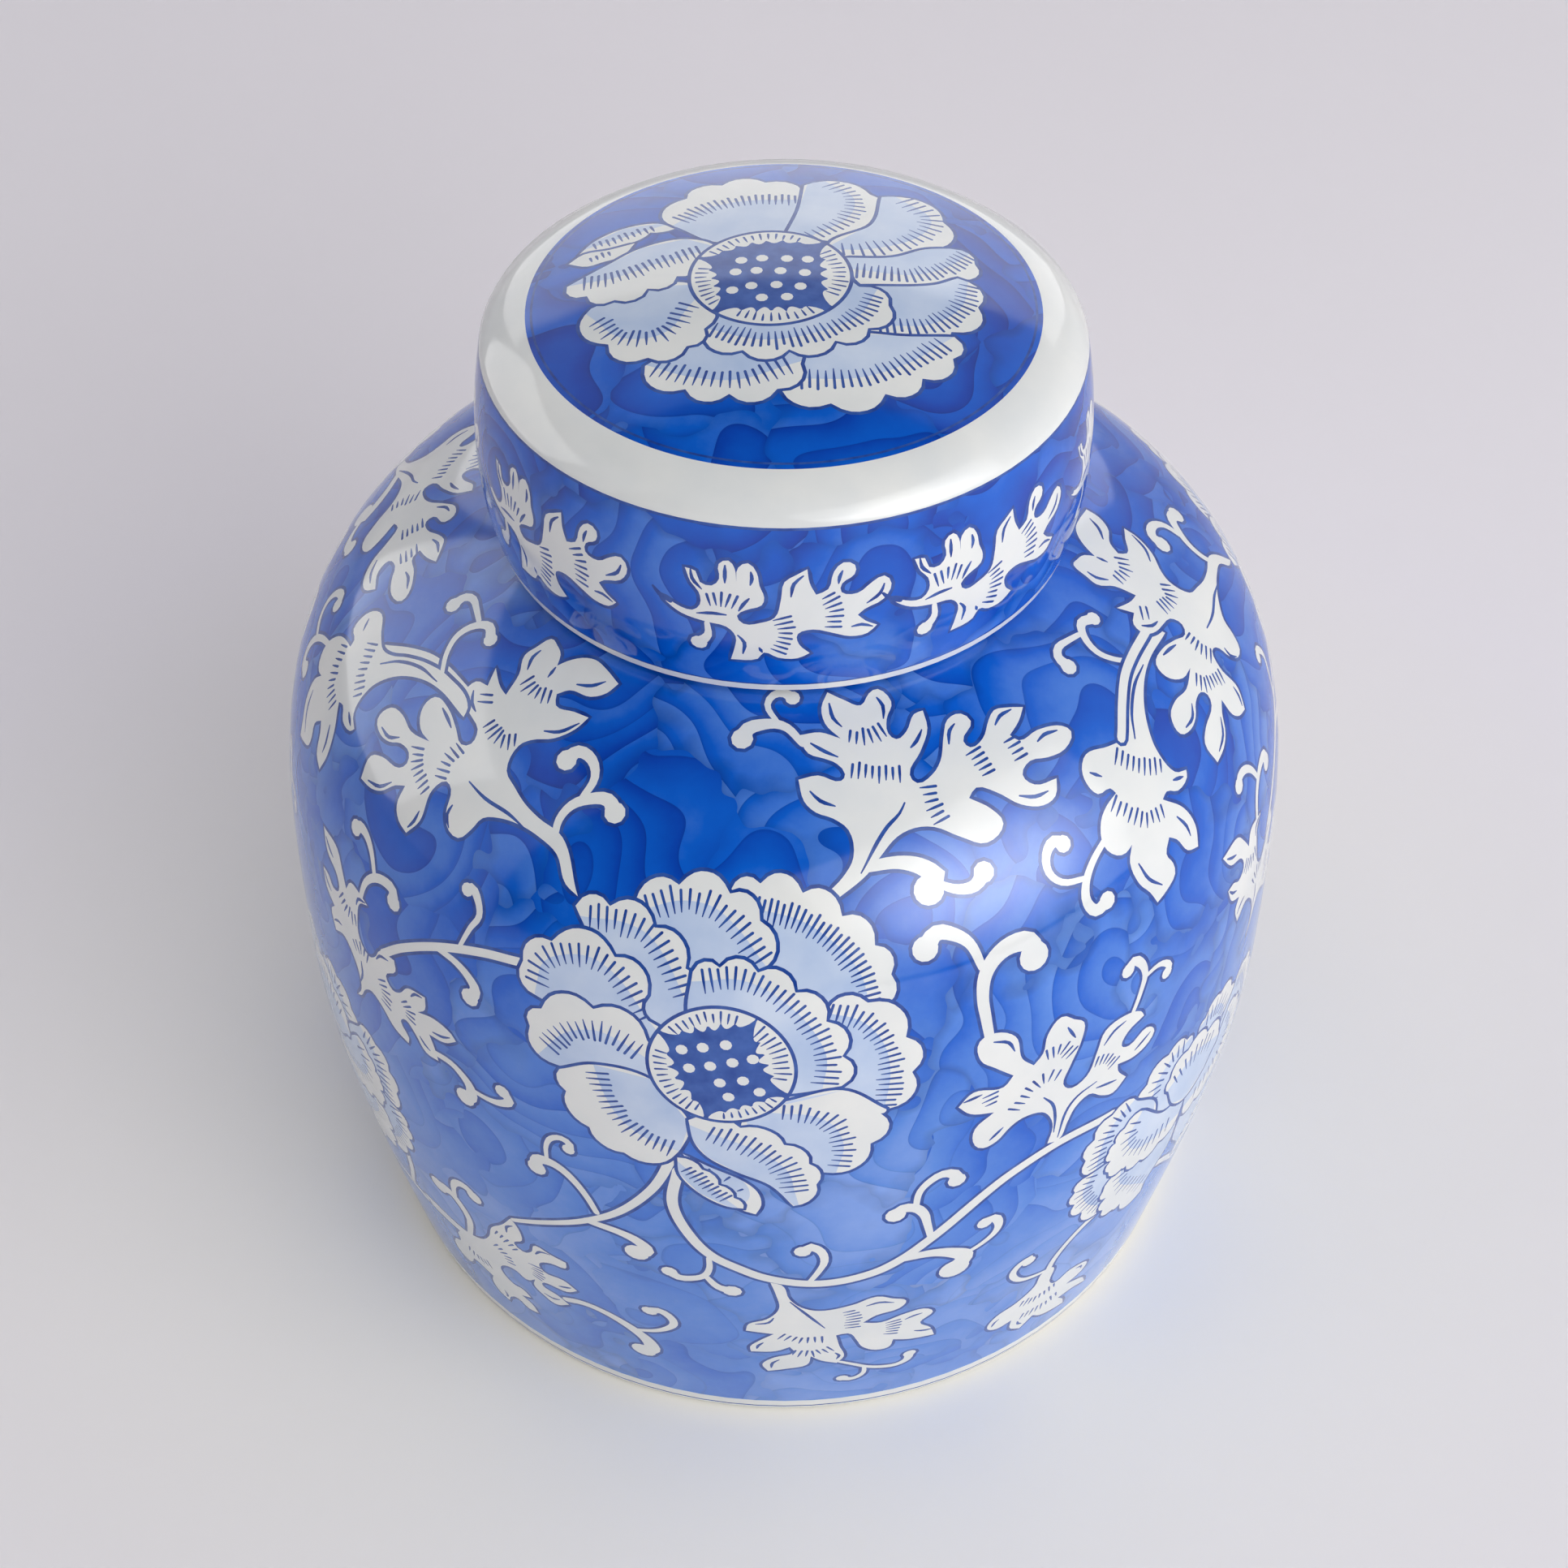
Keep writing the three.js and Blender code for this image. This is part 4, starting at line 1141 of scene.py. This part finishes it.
def dabs(nodes):
    """A ground laid on in curved dabs, each of which starts at its round edge and fades towards the next.

    The surface is divided into fields with wavy borders. In each field the dabs follow each other as arcs
    about a centre of its own. Returns how far a place is through its dab, the dab's tone and the field's
    tone, all 0 to 1, and how far the place is from the field's border, in metres.
    """
    half = (0.5, 0.5, 0.5)
    sway = nodes.vector("SUBTRACT", nodes.noise(95, 1.0, output="Color"), half)
    place = nodes.vector("ADD", nodes.place, nodes.vector("SCALE", sway, scale=FIELD_SWAY))
    field, border = (
        nodes.add("ShaderNodeTexVoronoi", {"feature": feature}, Vector=place, Scale=1 / DAB_FIELD).outputs
        for feature in ("F1", "DISTANCE_TO_EDGE")
    )
    aside = nodes.vector("SUBTRACT", field["Color"], half)
    aside = nodes.vector("SCALE", aside, scale=CENTRE_REACH * DAB_FIELD)
    centre = nodes.vector("ADD", field["Position"], aside)
    away = nodes.vector("LENGTH", nodes.vector("SUBTRACT", nodes.place, centre))
    uneven = nodes.maths("MULTIPLY", nodes.noise(52, 0.0), UNEVEN)
    order = nodes.maths("MULTIPLY_ADD", away, 1 / DAB_STEP, uneven)
    through = nodes.maths("FRACT", order)
    tone = nodes.add("ShaderNodeTexWhiteNoise", {"noise_dimensions": "4D"}, Vector=field["Color"],
                     W=nodes.maths("FLOOR", order)).outputs["Value"]
    field_tone = nodes.add("ShaderNodeSeparateXYZ", Vector=field["Color"]).outputs["X"]
    edge = nodes.maths("MULTIPLY", border["Distance"], DAB_FIELD)
    return through, tone, field_tone, edge


def ground_paint():
    """Cobalt laid on in overlapping dabs of a loaded brush, paler and more even low on the jar."""
    nodes = Nodes("cobalt_ground")
    through, tone, field_tone, edge = dabs(nodes)
    height = nodes.add("ShaderNodeSeparateXYZ", Vector=nodes.place).outputs["Z"]
    low = nodes.between(height, DEEP_ABOVE, PALE_BELOW)
    fade = nodes.maths("POWER", through, 1.6)
    bold = nodes.maths("MULTIPLY_ADD", low, 0.16, -0.25)
    depth = nodes.maths("MULTIPLY_ADD", fade, bold, 0.19)
    shares = [(nodes.noise(16, 3.0, 0.55), 0.46), (nodes.noise(300, 4.0, 0.6), 0.1), (tone, 0.12),
              (field_tone, 0.12), (low, 0.29)]
    for value, share in shares:
        depth = nodes.maths("MULTIPLY_ADD", value, share, depth)
    colour = nodes.ramp(depth, [(0.12, rgb(0, 34, 130)), (0.38, rgb(0, 67, 176)), (0.58, rgb(2, 92, 202)),
                                (0.8, rgb(82, 133, 217)), (1.0, rgb(128, 162, 229))])
    seam = nodes.ramp(through, [(0.0, grey(0.94)), (0.04, grey(1.0)), (0.93, grey(1.0)), (0.985, grey(0.8))])
    colour = nodes.multiply(0.6, colour, seam)
    pooled = nodes.between(edge, 0.0, POOL_WIDTH, at_low=0.68)
    colour = nodes.multiply(nodes.maths("MULTIPLY", field_tone, 0.85), colour, pooled)
    return glazed(nodes, colour)


def flat_paint(name, pale, deep, scale):
    """A paint that varies a little from place to place."""
    nodes = Nodes(name)
    return glazed(nodes, nodes.ramp(nodes.noise(scale, 4.0), [(0.3, pale), (0.7, deep)]))


def bare_clay():
    nodes = Nodes("unglazed_foot")
    grain = nodes.noise(900, 5.0, 0.7)
    colour = nodes.ramp(grain, [(0.35, rgb(196, 186, 170)), (0.7, rgb(226, 219, 206))])
    nodes.put(nodes.shader.inputs["Base Color"], colour)
    nodes.shader.inputs["Roughness"].default_value = 0.85
    bump = nodes.add("ShaderNodeBump", Height=grain, Strength=0.35, Distance=0.0004)
    nodes.put(nodes.shader.inputs["Normal"], bump.outputs["Normal"])
    return nodes.material


# In the order of GROUND, WHITE and the rest.
PAINTS = [
    ground_paint(),
    flat_paint("white_glaze", rgb(233, 234, 231), rgb(223, 226, 226), 60),
    flat_paint("pale_wash", rgb(204, 217, 237), rgb(176, 196, 228), 70),
    flat_paint("brush_line", rgb(22, 58, 140), rgb(54, 92, 168), 300),
    flat_paint("flower_heart", rgb(26, 68, 150), rgb(58, 98, 176), 260),
    bare_clay(),
]


# ---------------------------------------------------------------- the jar

def across(section):
    """Unit steps to the left of a section, which is inwards where it runs upwards."""
    run = unit(np.gradient(section, axis=0))
    return np.c_[-run[:, 1], run[:, 0]]


def belly_line():
    """The outside from the foot to the neck's root: two curves that meet at the widest part."""
    widest = (BELLY_RADIUS, BELLY_HEIGHT)
    lower = bezier((FOOT_RADIUS, 0), (FOOT_RADIUS + 9.1, BELLY_HEIGHT * 0.49),
                   (BELLY_RADIUS, BELLY_HEIGHT * 0.76), widest, 60)
    upper = bezier(widest, (BELLY_RADIUS, BELLY_HEIGHT + 60.4), SHOULDER + SHOULDER_GUIDE, SHOULDER, 90)
    return np.vstack([lower, upper[1:]])


def painted_surface(section, start):
    """The turned surface of a section that starts so many millimetres up the whole outside."""
    surface = Turned(section)
    surface.along += start
    surface.length += start
    return surface


def neck_and_inside(belly):
    """From the shoulder's end over the lip, down the throat and the inside, to the middle of the floor."""
    root = quarter(belly[-1], (NECK_RADIUS, SHOULDER[1] + 1.5), (NECK_RADIUS, NECK_ROOT))
    lip = WALL / 2
    turn = np.linspace(0, math.pi, 9)
    lip_round = (NECK_RADIUS - lip, NECK_TOP - lip) + lip * np.c_[np.cos(turn), np.sin(turn)]
    inner = belly + across(belly) * WALL
    kept = inner[(inner[:, 1] > FLOOR + FLOOR_FILLET) & (inner[:, 0] > NECK_RADIUS + 3)][::-1]
    throat_radius = NECK_RADIUS - WALL
    throat = quarter((throat_radius, SHOULDER[1] + 2), (throat_radius, SHOULDER[1] - 2.5), kept[0])
    bottom = quarter(kept[-1], (inner[0, 0] + 1.5, FLOOR), (inner[0, 0] - FLOOR_FILLET, FLOOR))
    floor = np.linspace(bottom[-1], (0, FLOOR), 8)
    return np.vstack([root, lip_round, throat, kept[1:-1], bottom, floor[1:]])


def jar_body():
    belly = belly_line()
    foot_top = (FOOT_RADIUS + FOOT_FLARE, FOOT_EDGE)
    surface = painted_surface(np.vstack([[foot_top], belly[belly[:, 1] > 2 * FOOT_EDGE]]), FOOT_START)
    shell = Shell()
    shell.painted(body_art(surface), surface, strips(JAR_PAINTING_TOP))
    shell.plain(neck_and_inside(belly), WHITE, JAR_INSIDE)
    recess_edge = (RING_INNER - FOOT_RECESS, FOOT_RECESS)
    shell.plain(np.linspace((0, FOOT_RECESS), recess_edge, 8), WHITE, JAR_UNDERSIDE)
    shell.plain([recess_edge, (RING_INNER, 0)], WHITE, INNER_CORNER)
    shell.plain(np.linspace((RING_INNER, 0), (RING_OUTER, 0), 4), BARE, BARE_RING)
    shell.plain(quarter((RING_OUTER, 0), (FOOT_RADIUS, 0), foot_top, 5), WHITE, OUTER_CORNER)
    return shell.mesh("painted_jar", PAINTS)


def skirt_lines():
    """The skirt from its lower edge up to the rim, and the rounded corner from there to the dome."""
    skirt = bezier((SKIRT_RADIUS, LID_SEAT), (SKIRT_RADIUS + 4.33, LID_SEAT + 14.22),
                   (RIM_RADIUS + 2.6, LID_SEAT + 28.45), (RIM_RADIUS, RIM_HEIGHT), 40)
    corner = bezier((RIM_RADIUS, RIM_HEIGHT), (RIM_RADIUS - 0.4, RIM_HEIGHT + 2.1),
                    (DOME_RADIUS + 4.5, DOME_FOOT - 1.2), (DOME_RADIUS, DOME_FOOT), 16)
    return skirt, corner


def lid_inside(skirt, dome):
    """From the middle of the ceiling down the inside of the skirt to the chamfer."""
    lean = np.linspace(0, math.asin(DOME_RADIUS / dome.ball), 9)
    under = dome.ball - LID_WALL
    ceiling = (0, TOP - dome.ball) + under * np.c_[np.sin(lean), np.cos(lean)]
    inner = (skirt + across(skirt) * LID_WALL)[2:-1][::-1]
    turn_in = quarter(ceiling[-1], (inner[0, 0] - 1, ceiling[-1, 1] - 1.2), inner[0])
    return np.vstack([ceiling, turn_in[1:-1], inner, [(SKIRT_RADIUS - LID_WALL, LID_SEAT + LID_CHAMFER)]])


def lid_cover():
    skirt, corner = skirt_lines()
    side = np.vstack([skirt[skirt[:, 1] > LID_SEAT + LID_CHAMFER], corner[1:]])
    surface = painted_surface(side, LID_CHAMFER)
    dome = Domed(DOME_RADIUS, TOP - DOME_FOOT, TOP)
    shell = Shell()
    shell.painted(skirt_art(surface), surface, strips(LID_PAINTING_TOP))
    shell.domed(dome_art(dome), dome, LID_SQUARES)
    shell.plain(lid_inside(skirt, dome), WHITE, LID_INSIDE)
    inner_edge = SKIRT_RADIUS - LID_WALL
    rest_in = (inner_edge + LID_CHAMFER, LID_SEAT)
    rest_out = (SKIRT_RADIUS - LID_CHAMFER, LID_SEAT)
    shell.plain([(inner_edge, LID_SEAT + LID_CHAMFER), rest_in], WHITE, INNER_CORNER)
    shell.plain([rest_in, rest_out], BARE, BARE_RING)
    shell.plain([rest_out, side[0]], WHITE, OUTER_CORNER)
    return shell.mesh("painted_lid", PAINTS)


body = jar_body()
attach(body, "jar")
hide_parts("jar_body")
lid = lid_cover()
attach(lid, "lid")
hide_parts("lid")


# ---------------------------------------------------------------- the studio

FLOOR_REACH = 5.0
TINT_START, TINT_END = 0.11, 0.28  # metres from the jar's axis between which the floor's tint fades
WALL_RADIUS = 3.2
WALL_FRONT = 30  # degrees that the wall comes forward past each side
WALL_TOP = 56  # degrees up to which the wall reaches, seen from the jar
WALL_GLOW = 0.26
JAR_MIDDLE = Vector((0, 0, 0.14))  # what the lights face
JAR_SHOULDER = 0.15  # the height from which their places are counted
HOT_MIDDLE, HOT_EDGE = 3.4, 0.45  # brightness of a softbox that fades
HOT_REACH = 0.55  # how far from its middle it fades, in widths
CAMERA_PLACE = Vector((0, -0.46716, 0.57871))
CAMERA_AIM = Vector((0, 0, 0.1109))
LENS = 64.4  # millimetres, on a sensor of 36
ROOM_LIGHT = (0.07, 0.07, 0.072, 1)


def stage_mesh(name, points, faces, material):
    mesh = bpy.data.meshes.new(name)
    mesh.from_pydata(points, [], faces)
    mesh.materials.append(material)
    linked(name, mesh)


def paper(name, colour, glow=0.0, near=None):
    """Matt paper. near is its colour round the jar, where it makes up for the blue light off the glaze."""
    nodes = Nodes(name)
    if near:
        away = nodes.vector("LENGTH", nodes.place)
        colour = nodes.ramp(away, [(TINT_START, near), (TINT_END, colour)])
    grain = nodes.ramp(nodes.noise(1.5, 2.0), [(0.3, grey(1.0)), (0.7, grey(0.985))])
    nodes.put(nodes.shader.inputs["Base Color"], nodes.multiply(1.0, colour, grain))
    nodes.shader.inputs["Roughness"].default_value = 0.9
    nodes.shader.inputs["Specular IOR Level"].default_value = 0.1
    nodes.shader.inputs["Emission Color"].default_value = (1, 0.995, 1.0, 1)
    nodes.shader.inputs["Emission Strength"].default_value = glow
    return nodes.material


def studio():
    """A pale floor, and a pale wall that goes round the back and the sides and stays open to the front."""
    corners = [(x * FLOOR_REACH, y * FLOOR_REACH, 0) for x, y in ((-1, -1), (1, -1), (1, 1), (-1, 1))]
    stage_mesh("studio_floor", corners, [(0, 1, 2, 3)],
               paper("floor_paper", rgb(247, 243, 248), near=rgb(250, 247, 240)))
    around = [math.radians(a) for a in range(-WALL_FRONT, 181 + WALL_FRONT, 10)]
    height = 0.2 + WALL_RADIUS * math.tan(math.radians(WALL_TOP))
    ring = [(WALL_RADIUS * math.cos(a), WALL_RADIUS * math.sin(a), z) for z in (0, height) for a in around]
    n = len(around)
    stage_mesh("studio_wall", ring, [(i, i + 1, n + i + 1, n + i) for i in range(n - 1)],
               paper("wall_paper", rgb(225, 225, 228), WALL_GLOW))


def round_the_jar(azimuth, elevation, distance):
    """A place seen from the jar's shoulder, with the azimuth counted to the right from the front."""
    a, e = math.radians(azimuth), math.radians(elevation)
    return (distance * math.sin(a) * math.cos(e), -distance * math.cos(a) * math.cos(e),
            JAR_SHOULDER + distance * math.sin(e))


def facing(place, aim):
    return (aim - place).to_track_quat("-Z", "Y").to_euler()


def area_light(name, direction, distance, size, power, lights=True, shines=True, hot=False):
    """A softbox that faces the jar.

    One that only lights isn't seen in the glaze, and one that only shines is. A hot one fades to its edges.
    """
    data = bpy.data.lights.new(name, "AREA")
    data.shape = "RECTANGLE"
    data.size, data.size_y = size
    data.energy = power
    if hot:
        fade_out(data)
    light = linked(name, data)
    light.visible_camera = False
    light.visible_diffuse = lights
    light.visible_glossy = shines
    light.location = round_the_jar(*direction, distance)
    light.rotation_euler = facing(light.location, JAR_MIDDLE)


def fade_out(data):
    """Makes a softbox brightest in its middle."""
    data.use_nodes = True
    nodes = data.node_tree.nodes
    place = nodes.new("ShaderNodeNewGeometry").outputs["Parametric"]
    away = nodes.new("ShaderNodeVectorMath")
    away.operation = "DISTANCE"
    away.inputs[1].default_value = (0.5, 0.5, 0)
    fade = nodes.new("ShaderNodeMapRange")
    fade.interpolation_type = "SMOOTHSTEP"
    fade.inputs["From Max"].default_value = HOT_REACH
    fade.inputs["To Min"].default_value = HOT_MIDDLE
    fade.inputs["To Max"].default_value = HOT_EDGE
    data.node_tree.links.new(place, away.inputs[0])
    data.node_tree.links.new(away.outputs["Value"], fade.inputs["Value"])
    data.node_tree.links.new(fade.outputs[0], nodes["Emission"].inputs["Strength"])


def camera():
    data = bpy.data.cameras.new("camera")
    data.lens = LENS
    data.sensor_width = 36
    thing = linked("camera", data)
    thing.location = CAMERA_PLACE
    thing.rotation_euler = facing(CAMERA_PLACE, CAMERA_AIM)
    bpy.context.scene.camera = thing


def room():
    """What little light comes from nowhere in particular."""
    world = bpy.data.worlds.new("room")
    world.use_nodes = True
    world.node_tree.nodes["Background"].inputs["Color"].default_value = ROOM_LIGHT
    bpy.context.scene.world = world


studio()
# Each light has its (azimuth, elevation), distance, size and power.
area_light("key_light", (42, 29), 2.4, (2.5, 2.4), 28, shines=False)
area_light("key_glow", (46, 28), 2.4, (3.0, 2.7), 76, lights=False, hot=True)
area_light("front_fill", (34, 20), 2.8, (2.2, 1.6), 25, shines=False)
area_light("top_fill", (10, 82), 2.6, (2.4, 2.4), 13, shines=False)
area_light("left_card", (-112, 22), 2.8, (2.6, 2.2), 30, lights=False)
area_light("back_card", (180, 20), 2.8, (3.6, 1.6), 22, lights=False)
camera()
room()
bpy.context.scene.view_settings.view_transform = "Standard"
